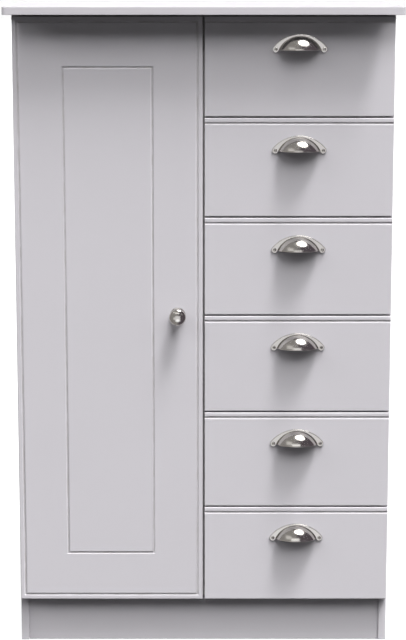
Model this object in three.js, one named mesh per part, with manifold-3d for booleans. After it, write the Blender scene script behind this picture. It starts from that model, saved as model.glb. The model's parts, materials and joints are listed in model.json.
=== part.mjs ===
// Chifforobe: a wardrobe bay behind one full-height door, beside a column of six drawers.
// Lengths are millimetres. +X is the viewer's right, -Y is the front, +Z is up.
// The origin is the middle of the outer box at floor level.

import * as THREE from 'three';
import { mergeVertices } from 'three/addons/utils/BufferGeometryUtils.js';
import Module from 'manifold-3d';

const wasm = await Module();
wasm.setup();

// Driving dimensions: case
const overallHeight = 1262;
const topWidth = 765;
const topDepth = 530;
const boardThickness = 15;
const topSideOverhang = 16;
const topFrontOverhang = 15;
const topCornerRadius = 6;
const topEdgeRadius = 2;
const baseUnderside = 95;
const plinthRecess = 4;
const plinthRearInset = 30;

// Driving dimensions: back panel, let into grooves in the two side panels
const backThickness = 3;
const backInset = 10;
const backGrooveDepth = 6;

// Driving dimensions: door and drawer fronts
const frontThickness = 18;
const frontsBottom = 92;
const frontSideReveal = 1.5;
const frontStandoff = 1.5;
const topGap = 3;
const centreGap = 4;
const drawerGap = 3;
const drawerCount = 6;
const frontEdgeRadius = 2;

// Driving dimensions: grooves routed in the fronts, measured to the groove's middle line
const grooveWidth = 4.7;
const grooveDepth = 1.5;
const grooveFloor = 3;
const edgeGrooveInset = 10.1;
const fieldGrooveInset = 96.5;

// Driving dimensions: drawer boxes and the strips that they slide on
const drawerSideGap = 5;
const drawerBoxDepth = 440;
const drawerBoxHeight = 130;
const drawerBoxRise = 24;
const drawerWallThickness = 12;
const drawerBaseThickness = 3;
const drawerBaseRise = 10;
const drawerBaseGrooveDepth = 4;
const runnerHeight = 16;
const runnerLength = 430;
const runnerRise = 60;
const runnerSetback = 4;
const runnerGrooveDepth = 5;

// Driving dimensions: inside the wardrobe bay
const hatSpace = 230;
const shelfSetback = 20;
const railRadius = 12.5;
const railWall = 1.5;
const railDrop = 45;
const socketFlangeRadius = 20;
const socketFlangeThickness = 2.5;
const socketCollarWall = 2.5;
const socketCollarLength = 14;

// Driving dimensions: concealed hinges
const hingeEndDistance = 100;
const hingeCupInset = 22.5;
const hingeCupRadius = 17.5;
const hingeCupDepth = 12;
const hingeCupWall = 1.5;
const hingeWingWidth = 14;
const hingeWingHeight = 58;
const hingeWingThickness = 1.2;
const hingePlateSetback = 26;
const hingePlateLength = 32;
const hingePlateHeight = 48;
const hingePlateThickness = 4;
const hingeArmHeight = 14;
const hingeArmWidth = 10;
const hingeTipWidth = 7;
const hingeTipDepth = 6;
const hingeCheekWidth = 16;

// Driving dimensions: door knob
const knobProjection = 30;
const knobEdgeDistance = 48.5;
const knobRadius = 16.5;
const knobFrontDepth = 8;
const knobBackDepth = 16;
const knobNeckRadius = 6.5;
const knobRoseRadius = 15.5;
const knobRoseRise = 3;
const knobRoseThickness = 3;

// Driving dimensions: half-moon cup handles
const cupHandleDrop = 33.5;
const cupDomeRadius = 45;
const cupDomeHeight = 27;
const cupProjection = 29;
const cupWall = 2;
const cupRimHeight = 30;
const cupRimRadius = 65.9;
const cupRimThickness = 3;
const cupEarRadius = 6.4;
const cupScrewSpacing = 92;
const cupScrewHeadRadius = 3.4;
const cupScrewHeadHeight = 1.6;

// Clearance where one piece is let into another, and the overrun of every cutter
const fitGap = 0.3;
const overrun = 10;

// Facets round a full circle, and steps along a curved outline
const smallFacets = 12;
const coarseFacets = 24;
const fineFacets = 40;
const rimFacets = 72;
const domeRings = 12;
const bevelSteps = 2;

// Worked out: widths
const carcassWidth = topWidth - 2 * topSideOverhang;
const carcassHalfWidth = carcassWidth / 2;
const innerHalfWidth = carcassHalfWidth - boardThickness;
const partitionHalf = boardThickness / 2;
const bayWidth = innerHalfWidth - partitionHalf;
const bayCentre = (innerHalfWidth + partitionHalf) / 2;
const frontsHalfWidth = carcassHalfWidth - frontSideReveal;
const frontWidth = frontsHalfWidth - centreGap / 2;
const frontCentre = (frontsHalfWidth + centreGap / 2) / 2;

// Worked out: heights
const topUnderside = overallHeight - boardThickness;
const baseTop = baseUnderside + boardThickness;
const frontsTop = topUnderside - topGap;
const doorHeight = frontsTop - frontsBottom;
const doorMiddle = (frontsTop + frontsBottom) / 2;
const drawerFrontHeight = (doorHeight - (drawerCount - 1) * drawerGap) / drawerCount;
const drawerPitch = drawerFrontHeight + drawerGap;
const grooveSlope = (grooveWidth - grooveFloor) / 2 / grooveDepth;
const shelfTop = topUnderside - hatSpace;
const shelfUnderside = shelfTop - boardThickness;
const railHeight = shelfUnderside - railDrop;

// Worked out: depths, from the middle of the outer box
const frontReach = Math.max(knobProjection, cupProjection, topFrontOverhang);
const overallDepth = topDepth - topFrontOverhang + frontReach;
const backY = overallDepth / 2;
const faceY = frontReach - backY;
const frontBackY = faceY + frontThickness;
const carcassFrontY = frontBackY + frontStandoff;
const backPanelRearY = backY - backInset;
const backPanelFrontY = backPanelRearY - backThickness;
const insideBackY = backPanelFrontY - fitGap;
const shelfFrontY = carcassFrontY + shelfSetback;

// Finishes
function finish(colour, roughness, metalness) {
  return new THREE.MeshStandardMaterial({ color: new THREE.Color(colour), roughness, metalness });
}

const caseFoil = finish('#cdcacf', 0.5, 0);
const frontFoil = finish('#cdcacf', 0.45, 0);
const insideFoil = finish('#e6e4e4', 0.6, 0);
const hardboard = finish('#dcd8d2', 0.7, 0);
const runnerPlastic = finish('#e9e7e1', 0.45, 0);
const satinNickel = finish('#b9b2a8', 0.25, 1);
const hingeSteel = finish('#b4b6b8', 0.35, 1);
const railChrome = finish('#c9cbcd', 0.15, 1);

// Joining and cutting of closed shapes
function solidFrom(geometry) {
  const plain = geometry.clone();
  plain.deleteAttribute('normal');
  plain.deleteAttribute('uv');
  const merged = mergeVertices(plain);
  const corners = merged.index.array;
  const triVerts = [];
  for (let i = 0; i < corners.length; i += 3) {
    const [a, b, c] = [corners[i], corners[i + 1], corners[i + 2]];
    if (a !== b && b !== c && c !== a) triVerts.push(a, b, c);
  }
  const vertProperties = Float32Array.from(merged.attributes.position.array);
  return new wasm.Manifold(new wasm.Mesh({
    numProp: 3,
    vertProperties,
    triVerts: Uint32Array.from(triVerts),
  }));
}

function geometryFrom(solid) {
  const cut = solid.getMesh();
  const geometry = new THREE.BufferGeometry();
  geometry.setAttribute('position', new THREE.BufferAttribute(cut.vertProperties, cut.numProp));
  geometry.setIndex(new THREE.BufferAttribute(cut.triVerts, 1));
  geometry.computeVertexNormals();
  return geometry;
}

// A block between its lowest and highest corners
function block(low, high) {
  const size = high.map((value, axis) => value - low[axis]);
  const geometry = new THREE.BoxGeometry(...size);
  geometry.translate(...low.map((value, axis) => value + size[axis] / 2));
  return geometry;
}

// A round bar along Y, from y = from back to y = to
function barAlongY(radius, from, to, facets) {
  const geometry = new THREE.CylinderGeometry(radius, radius, to - from, facets);
  geometry.translate(0, (from + to) / 2, 0);
  return geometry;
}

// Turns an extruded outline so that its x runs back (+Y), its y up (+Z) and its length along X
function alongX(geometry) {
  return geometry.applyMatrix4(new THREE.Matrix4().set(
    0, 0, 1, 0,
    1, 0, 0, 0,
    0, 1, 0, 0,
    0, 0, 0, 1,
  ));
}

// A closed outline turned about the Y axis, given as [radius, y] points
function turned(points, facets) {
  return new THREE.LatheGeometry(points.map(([radius, y]) => new THREE.Vector2(radius, y)), facets);
}

function part(name, geometry, material, x = 0, y = 0, z = 0) {
  const mesh = new THREE.Mesh(geometry, material);
  mesh.name = name;
  mesh.position.set(x, y, z);
  return mesh;
}

// Top board: corners rounded in plan and long edges eased
function topBoard() {
  const halfWidth = topWidth / 2 - topEdgeRadius;
  const halfDepth = topDepth / 2 - topEdgeRadius;
  const corner = topCornerRadius - topEdgeRadius;
  const outline = new THREE.Shape();
  outline.moveTo(corner - halfWidth, -halfDepth);
  outline.lineTo(halfWidth - corner, -halfDepth);
  outline.absarc(halfWidth - corner, corner - halfDepth, corner, -Math.PI / 2, 0);
  outline.lineTo(halfWidth, halfDepth - corner);
  outline.absarc(halfWidth - corner, halfDepth - corner, corner, 0, Math.PI / 2);
  outline.lineTo(corner - halfWidth, halfDepth);
  outline.absarc(corner - halfWidth, halfDepth - corner, corner, Math.PI / 2, Math.PI);
  outline.lineTo(-halfWidth, corner - halfDepth);
  outline.absarc(corner - halfWidth, corner - halfDepth, corner, Math.PI, 3 * Math.PI / 2);
  const geometry = new THREE.ExtrudeGeometry(outline, {
    depth: boardThickness - 2 * topEdgeRadius,
    bevelEnabled: true,
    bevelThickness: topEdgeRadius,
    bevelSize: topEdgeRadius,
    bevelSegments: bevelSteps,
    curveSegments: coarseFacets / 4,
  });
  geometry.translate(0, 0, topEdgeRadius);
  return part('top_panel', geometry, caseFoil, 0, backY - topDepth / 2, topUnderside);
}

// Side panel with the groove that holds the back panel
function sidePanel(name, side) {
  const outerX = side * carcassHalfWidth;
  const innerX = side * innerHalfWidth;
  const grooveX = side * (innerHalfWidth + backGrooveDepth);
  const cutX = side * (innerHalfWidth - overrun);
  const board = block(
    [Math.min(outerX, innerX), carcassFrontY, 0],
    [Math.max(outerX, innerX), backY, topUnderside],
  );
  const groove = block(
    [Math.min(grooveX, cutX), backPanelFrontY - fitGap, -overrun],
    [Math.max(grooveX, cutX), backPanelRearY + fitGap, topUnderside + overrun],
  );
  return part(name, geometryFrom(solidFrom(board).subtract(solidFrom(groove))), caseFoil);
}

function carcass() {
  const group = new THREE.Group();
  group.add(topBoard());
  group.add(sidePanel('side_panel_left', -1));
  group.add(sidePanel('side_panel_right', 1));
  group.add(part('centre_partition', block(
    [-partitionHalf, carcassFrontY, baseTop],
    [partitionHalf, insideBackY, topUnderside],
  ), insideFoil));
  group.add(part('base_panel', block(
    [-innerHalfWidth, carcassFrontY, baseUnderside],
    [innerHalfWidth, insideBackY, baseTop],
  ), insideFoil));
  const plinthY = carcassFrontY + plinthRecess;
  group.add(part('plinth_front', block(
    [-innerHalfWidth, plinthY, 0],
    [innerHalfWidth, plinthY + boardThickness, baseUnderside],
  ), caseFoil));
  const rearRailY = insideBackY - plinthRearInset;
  group.add(part('plinth_rear', block(
    [-innerHalfWidth, rearRailY - boardThickness, 0],
    [innerHalfWidth, rearRailY, baseUnderside],
  ), insideFoil));
  const backHalfWidth = innerHalfWidth + backGrooveDepth - fitGap;
  group.add(part('back_panel', block(
    [-backHalfWidth, backPanelFrontY, baseUnderside],
    [backHalfWidth, backPanelRearY, topUnderside - fitGap],
  ), hardboard));
  return group;
}

// Collar and flange that hold one end of the hanging rail, with the flange's back at y = 0
function railSocket(name, side) {
  const bore = railRadius + fitGap;
  const collar = bore + socketCollarWall;
  const geometry = turned([
    [0, 0],
    [socketFlangeRadius, 0],
    [socketFlangeRadius, socketFlangeThickness],
    [collar, socketFlangeThickness],
    [collar, socketCollarLength],
    [bore, socketCollarLength],
    [bore, socketFlangeThickness],
    [0, socketFlangeThickness],
  ], coarseFacets);
  const wallX = side < 0 ? -innerHalfWidth : -partitionHalf;
  const socket = part(name, geometry, railChrome, wallX, (shelfFrontY + insideBackY) / 2, railHeight);
  socket.rotation.z = side * Math.PI / 2;
  return socket;
}

function hangingRail() {
  const length = bayWidth - 2 * (socketFlangeThickness + fitGap);
  const bore = railRadius - railWall;
  const geometry = turned([
    [bore, -length / 2],
    [railRadius, -length / 2],
    [railRadius, length / 2],
    [bore, length / 2],
    [bore, -length / 2],
  ], coarseFacets);
  const rail = part('hanging_rail', geometry, railChrome,
    -bayCentre, (shelfFrontY + insideBackY) / 2, railHeight);
  rail.rotation.z = Math.PI / 2;
  return rail;
}

function wardrobeFittings() {
  const group = new THREE.Group();
  group.add(part('hat_shelf', block(
    [-innerHalfWidth, shelfFrontY, shelfUnderside],
    [-partitionHalf, insideBackY, shelfTop],
  ), insideFoil));
  group.add(hangingRail());
  group.add(railSocket('rail_socket_left', -1));
  group.add(railSocket('rail_socket_right', 1));
  return group;
}

// Groove cutter along X, its mouth at y = 0 and its floor at y = grooveDepth
function grooveAlongX(length) {
  const shape = new THREE.Shape();
  const mouth = grooveFloor / 2 + (grooveDepth + overrun) * grooveSlope;
  shape.moveTo(-overrun, -mouth);
  shape.lineTo(grooveDepth, -grooveFloor / 2);
  shape.lineTo(grooveDepth, grooveFloor / 2);
  shape.lineTo(-overrun, mouth);
  return alongX(new THREE.ExtrudeGeometry(shape, { depth: length, bevelEnabled: false }));
}

// Block along Y between y = nearY and y = farY, with its half sizes [x, z] at either end
function taperedBlock(near, far, nearY, farY) {
  const geometry = new THREE.BoxGeometry(1, 1, 1);
  const place = geometry.attributes.position;
  for (let i = 0; i < place.count; i += 1) {
    const isNear = place.getY(i) < 0;
    const [halfX, halfZ] = isNear ? near : far;
    const [signX, signZ] = [Math.sign(place.getX(i)), Math.sign(place.getZ(i))];
    place.setXYZ(i, signX * halfX, isNear ? nearY : farY, signZ * halfZ);
  }
  return geometry;
}

// Groove cutter round a rectangle that is inset from the edges of a board of this size
function grooveRing(width, height, inset) {
  const wall = (side, nearY, farY) => {
    const halfSizes = (y) => {
      const offset = side * (grooveFloor / 2 + (grooveDepth - y) * grooveSlope);
      return [width / 2 - inset + offset, height / 2 - inset + offset];
    };
    return solidFrom(taperedBlock(halfSizes(nearY), halfSizes(farY), nearY, farY));
  };
  const outer = wall(1, -frontEdgeRadius, grooveDepth);
  return outer.subtract(wall(-1, -2 * frontEdgeRadius, grooveDepth + frontEdgeRadius));
}

// Board with its front edges rounded: face at y = 0, centred on X and Z
function frontBoard(width, height) {
  const radius = frontEdgeRadius;
  const outline = new THREE.Shape();
  outline.moveTo(radius - width / 2, radius - height / 2);
  outline.lineTo(width / 2 - radius, radius - height / 2);
  outline.lineTo(width / 2 - radius, height / 2 - radius);
  outline.lineTo(radius - width / 2, height / 2 - radius);
  const rounded = new THREE.ExtrudeGeometry(outline, {
    depth: frontThickness - 2 * radius,
    bevelEnabled: true,
    bevelThickness: radius,
    bevelSize: radius,
    bevelSegments: bevelSteps,
  });
  rounded.rotateX(Math.PI / 2);
  rounded.translate(0, frontThickness - radius, 0);
  const squareBack = block(
    [-width / 2, frontThickness / 2, -height / 2],
    [width / 2, frontThickness, height / 2],
  );
  return solidFrom(rounded).add(solidFrom(squareBack));
}

// Round bar cutter for a hinge cup, open at the board's back face
function cupBore() {
  const floor = frontThickness - hingeCupDepth - fitGap;
  return barAlongY(hingeCupRadius + fitGap, floor, frontThickness + overrun, fineFacets);
}

function hingeHeights() {
  return [frontsTop - hingeEndDistance, doorMiddle, frontsBottom + hingeEndDistance];
}

const hingeNames = ['top', 'middle', 'bottom'];

function doorPanel() {
  let panel = frontBoard(frontWidth, doorHeight)
    .subtract(grooveRing(frontWidth, doorHeight, edgeGrooveInset))
    .subtract(grooveRing(frontWidth, doorHeight, fieldGrooveInset));
  for (const height of hingeHeights()) {
    const bore = cupBore();
    bore.translate(hingeCupInset - frontWidth / 2, 0, height - doorMiddle);
    panel = panel.subtract(solidFrom(bore));
  }
  return part('door_panel', geometryFrom(panel), frontFoil, -frontCentre, faceY, doorMiddle);
}

// Cup let into the door's back: two wings for its screws, two cheeks beside the arm's tip
function hingeCup(name, height) {
  const floor = frontThickness - hingeCupDepth;
  const bowl = solidFrom(barAlongY(hingeCupRadius, floor, frontThickness, fineFacets));
  const wings = solidFrom(block(
    [-hingeWingWidth / 2, frontThickness, -hingeWingHeight / 2],
    [hingeWingWidth / 2, frontThickness + hingeWingThickness, hingeWingHeight / 2],
  ));
  const hollow = solidFrom(barAlongY(
    hingeCupRadius - hingeCupWall,
    floor + hingeCupWall,
    frontThickness + overrun,
    fineFacets,
  ));
  let cup = bowl.add(wings).subtract(hollow);
  const cheekStart = hingeArmHeight / 2 + fitGap;
  for (const side of [-1, 1]) {
    const cheek = solidFrom(block(
      [-hingeCheekWidth / 2, floor, Math.min(side * cheekStart, side * hingeCupRadius)],
      [hingeCheekWidth / 2, frontThickness, Math.max(side * cheekStart, side * hingeCupRadius)],
    ));
    cup = cup.add(cheek.intersect(bowl));
  }
  const cupX = hingeCupInset - frontsHalfWidth;
  return part(name, geometryFrom(cup), hingeSteel, cupX, faceY, height);
}

// Mounting plate on the side panel, with the arm whose tip reaches into the cup
function hingeArm(name, height) {
  const plateX = hingePlateThickness;
  const plateY = carcassFrontY + hingePlateSetback;
  const armX = plateX + hingeArmWidth;
  const tipX = hingeCupInset - frontsHalfWidth + innerHalfWidth;
  const shape = new THREE.Shape();
  shape.moveTo(plateX, plateY + hingePlateLength);
  shape.lineTo(plateX, plateY);
  shape.lineTo(tipX - hingeTipWidth / 2, carcassFrontY);
  shape.lineTo(tipX - hingeTipWidth / 2, frontBackY - hingeTipDepth);
  shape.lineTo(tipX + hingeTipWidth / 2, frontBackY - hingeTipDepth);
  shape.lineTo(tipX + hingeTipWidth / 2, carcassFrontY);
  shape.lineTo(armX, plateY);
  shape.lineTo(armX, plateY + hingePlateLength);
  const arm = new THREE.ExtrudeGeometry(shape, { depth: hingeArmHeight, bevelEnabled: false });
  arm.translate(0, 0, -hingeArmHeight / 2);
  const plate = block(
    [0, plateY, -hingePlateHeight / 2],
    [plateX, plateY + hingePlateLength, hingePlateHeight / 2],
  );
  const solid = solidFrom(arm).add(solidFrom(plate));
  return part(name, geometryFrom(solid), hingeSteel, -innerHalfWidth, 0, height);
}

// Knob, flatter in front than behind, on a neck and a round rose, its back at y = 0 and its front towards -Y
function doorKnob() {
  const widestPlace = knobProjection - knobFrontDepth;
  const points = [
    [0, 0],
    [knobRoseRadius, 0],
    [knobRoseRadius, knobRoseThickness],
    [knobNeckRadius, knobRoseThickness + knobRoseRise],
  ];
  const neckAngle = Math.asin(knobNeckRadius / knobRadius);
  for (let step = 0; step <= domeRings; step += 1) {
    const angle = neckAngle + (Math.PI - neckAngle) * step / domeRings;
    const radius = step === domeRings ? 0 : knobRadius * Math.sin(angle);
    const bulge = angle < Math.PI / 2 ? knobBackDepth : knobFrontDepth;
    points.push([radius, widestPlace - bulge * Math.cos(angle)]);
  }
  const geometry = turned(points, coarseFacets);
  geometry.rotateX(Math.PI);
  const knobX = -centreGap / 2 - knobEdgeDistance;
  return part('door_knob', geometry, satinNickel, knobX, faceY, doorMiddle);
}

function door() {
  const group = new THREE.Group();
  group.add(doorPanel());
  group.add(doorKnob());
  hingeHeights().forEach((height, index) => {
    group.add(hingeCup(`hinge_cup_${hingeNames[index]}`, height));
  });
  return group;
}

function hingeArms() {
  const group = new THREE.Group();
  hingeHeights().forEach((height, index) => {
    group.add(hingeArm(`hinge_arm_${hingeNames[index]}`, height));
  });
  return group;
}

// Half-moon cup handle: back at y = 0, open underside at z = 0, dome towards -Y.
// The dome is part of an ellipsoid whose middle lies below the open underside.
function cupHandle(name) {
  const domeDrop = cupDomeRadius - cupDomeHeight;
  const bulge = cupProjection / Math.sqrt(1 - (domeDrop / cupDomeRadius) ** 2);
  const ellipsoid = (inset) => {
    const geometry = new THREE.SphereGeometry(1, fineFacets, domeRings);
    geometry.scale(cupDomeRadius - inset, bulge - inset, cupDomeRadius - inset);
    geometry.translate(0, 0, -domeDrop);
    return solidFrom(geometry);
  };
  const reach = cupRimRadius + overrun;
  const above = (level) => solidFrom(block([-reach, -reach, level], [reach, 0, reach]));
  const shell = ellipsoid(0).intersect(above(0));
  const rimDrop = cupRimRadius - cupRimHeight;
  const rim = barAlongY(cupRimRadius, -cupRimThickness, 0, rimFacets);
  rim.translate(0, 0, -rimDrop);
  const earX = cupScrewSpacing / 2;
  const earZ = Math.sqrt((cupRimRadius - cupEarRadius) ** 2 - earX ** 2) - rimDrop;
  let handle = shell.add(solidFrom(rim).intersect(above(earZ)));
  for (const side of [-1, 1]) {
    const ear = barAlongY(cupEarRadius, -cupRimThickness, 0, coarseFacets);
    ear.translate(side * earX, 0, earZ);
    const head = new THREE.SphereGeometry(1, smallFacets, smallFacets / 2);
    head.scale(cupScrewHeadRadius, cupScrewHeadHeight, cupScrewHeadRadius);
    head.translate(side * earX, -cupRimThickness, earZ);
    handle = handle.add(solidFrom(ear)).add(solidFrom(head));
  }
  const behind = block([-reach, 0, -reach], [reach, overrun, reach]);
  handle = handle.subtract(ellipsoid(cupWall)).subtract(solidFrom(behind));
  const handleZ = drawerFrontHeight - cupHandleDrop - cupRimHeight;
  return part(name, geometryFrom(handle), satinNickel, frontCentre - bayCentre, -frontThickness, handleZ);
}

// Drawer front with one groove along its top edge, its back at y = 0
function drawerFront(name) {
  const groove = grooveAlongX(frontWidth + 2 * overrun);
  groove.translate(-frontWidth / 2 - overrun, 0, drawerFrontHeight / 2 - edgeGrooveInset);
  const solid = frontBoard(frontWidth, drawerFrontHeight).subtract(solidFrom(groove));
  return part(name, geometryFrom(solid), frontFoil,
    frontCentre - bayCentre, -frontThickness, drawerFrontHeight / 2);
}

// Two sides and a back in one folded piece, grooved for the base and for the runners
function drawerBox(name) {
  const half = bayWidth / 2 - drawerSideGap;
  const inner = half - drawerWallThickness;
  const rearInner = drawerBoxDepth - drawerWallThickness;
  const runnerLow = runnerRise - fitGap;
  const runnerHigh = runnerRise + runnerHeight + fitGap;
  let solid = solidFrom(block([-half, 0, 0], [half, drawerBoxDepth, drawerBoxHeight]));
  solid = solid.subtract(solidFrom(block(
    [-inner, -overrun, -overrun],
    [inner, rearInner, drawerBoxHeight + overrun],
  )));
  solid = solid.subtract(solidFrom(block(
    [-inner - drawerBaseGrooveDepth, -overrun, drawerBaseRise - fitGap],
    [inner + drawerBaseGrooveDepth, rearInner + drawerBaseGrooveDepth,
      drawerBaseRise + drawerBaseThickness + fitGap],
  )));
  for (const side of [-1, 1]) {
    const grooveX = side * (half - runnerGrooveDepth);
    const outsideX = side * (half + overrun);
    solid = solid.subtract(solidFrom(block(
      [Math.min(grooveX, outsideX), -overrun, runnerLow],
      [Math.max(grooveX, outsideX), drawerBoxDepth + overrun, runnerHigh],
    )));
  }
  return part(name, geometryFrom(solid), insideFoil, 0, 0, drawerBoxRise);
}

function drawerBase(name) {
  const reach = drawerBaseGrooveDepth - fitGap;
  const half = bayWidth / 2 - drawerSideGap - drawerWallThickness + reach;
  const geometry = block(
    [-half, fitGap, 0],
    [half, drawerBoxDepth - drawerWallThickness + reach, drawerBaseThickness],
  );
  return part(name, geometry, hardboard, 0, 0, drawerBoxRise + drawerBaseRise);
}

function drawerBottom(number) {
  return frontsTop - drawerFrontHeight - (number - 1) * drawerPitch;
}

function drawer(number) {
  const group = new THREE.Group();
  group.add(drawerFront(`drawer_front_${number}`));
  group.add(drawerBox(`drawer_box_${number}`));
  group.add(drawerBase(`drawer_base_${number}`));
  group.add(cupHandle(`cup_handle_${number}`));
  group.position.set(bayCentre, frontBackY, drawerBottom(number));
  return group;
}

// Strip with a rounded front end, fixed to the wall of the drawer bay
function runner(name, side, number) {
  const thickness = drawerSideGap + runnerGrooveDepth - fitGap;
  const half = runnerHeight / 2;
  const frontY = carcassFrontY + runnerSetback;
  const shape = new THREE.Shape();
  shape.moveTo(half, -half);
  shape.lineTo(runnerLength, -half);
  shape.lineTo(runnerLength, half);
  shape.lineTo(half, half);
  shape.absarc(half, 0, half, Math.PI / 2, 3 * Math.PI / 2);
  const geometry = alongX(new THREE.ExtrudeGeometry(shape, {
    depth: thickness,
    bevelEnabled: false,
    curveSegments: coarseFacets / 2,
  }));
  const x = side < 0 ? partitionHalf : innerHalfWidth - thickness;
  const z = drawerBottom(number) + drawerBoxRise + runnerRise + half;
  return part(name, geometry, runnerPlastic, x, frontY, z);
}

function runners() {
  const group = new THREE.Group();
  for (let number = 1; number <= drawerCount; number += 1) {
    group.add(runner(`runner_left_${number}`, -1, number));
    group.add(runner(`runner_right_${number}`, 1, number));
  }
  return group;
}

function chifforobe() {
  const group = new THREE.Group();
  group.add(carcass());
  group.add(wardrobeFittings());
  group.add(hingeArms());
  group.add(runners());
  group.add(door());
  for (let number = 1; number <= drawerCount; number += 1) group.add(drawer(number));
  group.updateMatrixWorld(true);
  return group;
}

export default chifforobe();
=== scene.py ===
# Chifforobe, light grey foil: one door beside six drawers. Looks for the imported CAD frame, in metres.
import json
import math

import bmesh
import bpy
from mathutils import Matrix, Vector

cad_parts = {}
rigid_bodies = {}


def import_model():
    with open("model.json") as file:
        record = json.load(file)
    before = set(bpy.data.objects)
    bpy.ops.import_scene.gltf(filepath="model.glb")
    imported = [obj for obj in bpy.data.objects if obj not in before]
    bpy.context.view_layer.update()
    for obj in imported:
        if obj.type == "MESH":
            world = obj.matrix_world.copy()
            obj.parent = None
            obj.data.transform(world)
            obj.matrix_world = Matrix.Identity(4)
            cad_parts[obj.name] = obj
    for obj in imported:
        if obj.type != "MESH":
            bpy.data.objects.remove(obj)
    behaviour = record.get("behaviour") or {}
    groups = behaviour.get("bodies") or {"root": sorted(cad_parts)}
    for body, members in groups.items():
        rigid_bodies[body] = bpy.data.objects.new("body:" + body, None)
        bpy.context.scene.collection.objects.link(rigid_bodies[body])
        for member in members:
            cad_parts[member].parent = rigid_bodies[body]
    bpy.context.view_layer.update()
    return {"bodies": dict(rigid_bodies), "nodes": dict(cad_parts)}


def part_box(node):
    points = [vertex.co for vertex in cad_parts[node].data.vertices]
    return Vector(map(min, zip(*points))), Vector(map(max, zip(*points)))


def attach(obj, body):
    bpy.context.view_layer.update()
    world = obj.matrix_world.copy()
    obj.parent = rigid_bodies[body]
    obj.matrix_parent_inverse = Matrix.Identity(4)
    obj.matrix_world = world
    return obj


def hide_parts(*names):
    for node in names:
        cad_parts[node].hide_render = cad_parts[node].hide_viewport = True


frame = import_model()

scene = bpy.context.scene
scene.view_settings.view_transform = "Standard"
drawerCount = sum(1 for name in frame["bodies"] if name.startswith("drawer_"))
hingeWords = ("top", "middle", "bottom")
print("frame loaded:", len(frame["nodes"]), "CAD nodes,", drawerCount, "drawers")


# Camera: stands in front of the fronts' face and looks a little down
cameraSetup = {
    "lens": 112.207,          # mm, on a 36 mm sensor along the picture's height
    "sensor": 36,
    "distance": 3.82385,      # from the face of the door and drawers
    "side": -0.0012,
    "height": 1.35555,
    "pitchDown": 0.18021,     # radians below the horizon
}


def placeCamera(setup):
    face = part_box("door_panel")[0].y
    data = bpy.data.cameras.new("photoCamera")
    data.lens = setup["lens"]
    data.sensor_width = setup["sensor"]
    camera = bpy.data.objects.new("photoCamera", data)
    camera.location = (setup["side"], face - setup["distance"], setup["height"])
    camera.rotation_euler = (math.pi / 2 - setup["pitchDown"], 0, 0)
    scene.collection.objects.link(camera)
    scene.camera = camera


placeCamera(cameraSetup)
print("camera placed")


# Node helpers
def addNode(tree, kind, x, y, **settings):
    node = tree.nodes.new(kind)
    node.location = (x, y)
    for key, value in settings.items():
        setattr(node, key, value)
    return node


def feed(tree, socket, value):
    if isinstance(value, bpy.types.NodeSocket):
        tree.links.new(value, socket)
    else:
        socket.default_value = value


def mathNode(tree, operation, first, second, x, y):
    node = addNode(tree, "ShaderNodeMath", x, y, operation=operation)
    feed(tree, node.inputs[0], first)
    feed(tree, node.inputs[1], second)
    return node.outputs[0]


def mapRange(tree, value, low, high, toLow, toHigh, x, y, smooth=False):
    node = addNode(tree, "ShaderNodeMapRange", x, y)
    if smooth:
        node.interpolation_type = "SMOOTHSTEP"
    for socket, amount in zip(node.inputs, (value, low, high, toLow, toHigh)):
        feed(tree, socket, amount)
    return node.outputs["Result"]


def mixColour(tree, factor, first, second, x, y, blend="MIX"):
    node = addNode(tree, "ShaderNodeMix", x, y, data_type="RGBA", blend_type=blend)
    feed(tree, node.inputs[0], factor)
    feed(tree, node.inputs[6], first)
    feed(tree, node.inputs[7], second)
    return node.outputs[2]


def noiseField(tree, place, scale, detail, x, y):
    node = addNode(tree, "ShaderNodeTexNoise", x, y)
    feed(tree, node.inputs["Vector"], place)
    feed(tree, node.inputs["Scale"], scale)
    node.inputs["Detail"].default_value = detail
    return node.outputs["Fac"]


def fromScreen(red, green, blue):
    # a colour as a picture shows it, 0 to 255, turned into Blender's linear values
    def channel(value):
        share = value / 255
        return share / 12.92 if share <= 0.04045 else ((share + 0.055) / 1.055) ** 2.4
    return (channel(red), channel(green), channel(blue), 1)


# Studio: white surround, a large soft light above and in front, dim lights for sides and back
studio = {
    "keyHeightAngle": 60,      # degrees above the horizon
    "keySideAngle": 13,        # degrees to the right
    # the key is one broad source in three lamps: name, sideways offset, strength, spread in degrees
    "keyParts": (
        ("keyLight", 0, 2.95, 46),
        ("keyLightRight", 1.27, 0.64, 30),
        ("keyLightLeft", -1.33, 0.9, 30),
    ),
    "grazeHeightAngle": 78,    # high light that rakes down the fronts
    "grazeSpread": 14,
    "grazeStrength": 4.5,
    "grazedPieces": ("doorFront", "doorKnob", "drawerFace", "cupPull", "plinthRail", "sideBoard", "floor"),
    "edgeStrength": 1.45,      # low light on the top board alone
    "edgeHeight": 0.05,
    "edgeSide": 0.4,
    "edgePieces": ("topBoard",),
    "sideStrength": 1.6,
    "sideHeightAngle": 6,
    "sideBehind": 0.85,        # how far back the side lights stand, for 1 sideways
    "backStrength": 2.6,
    "backHeightAngle": 16,
    "wideSpread": 30,
    "ambient": 0.1,
    "ambientColour": (0.97, 0.97, 1, 1),
    "flagDepth": 0.03,         # card in front of the top board that deepens its shadow
    "flagEndInset": 0.034,
    "floorSize": 80,
    "floorGlow": 0.8,
    "floorPale": 0.3,
    "floorBounce": 0.03,
}


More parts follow.
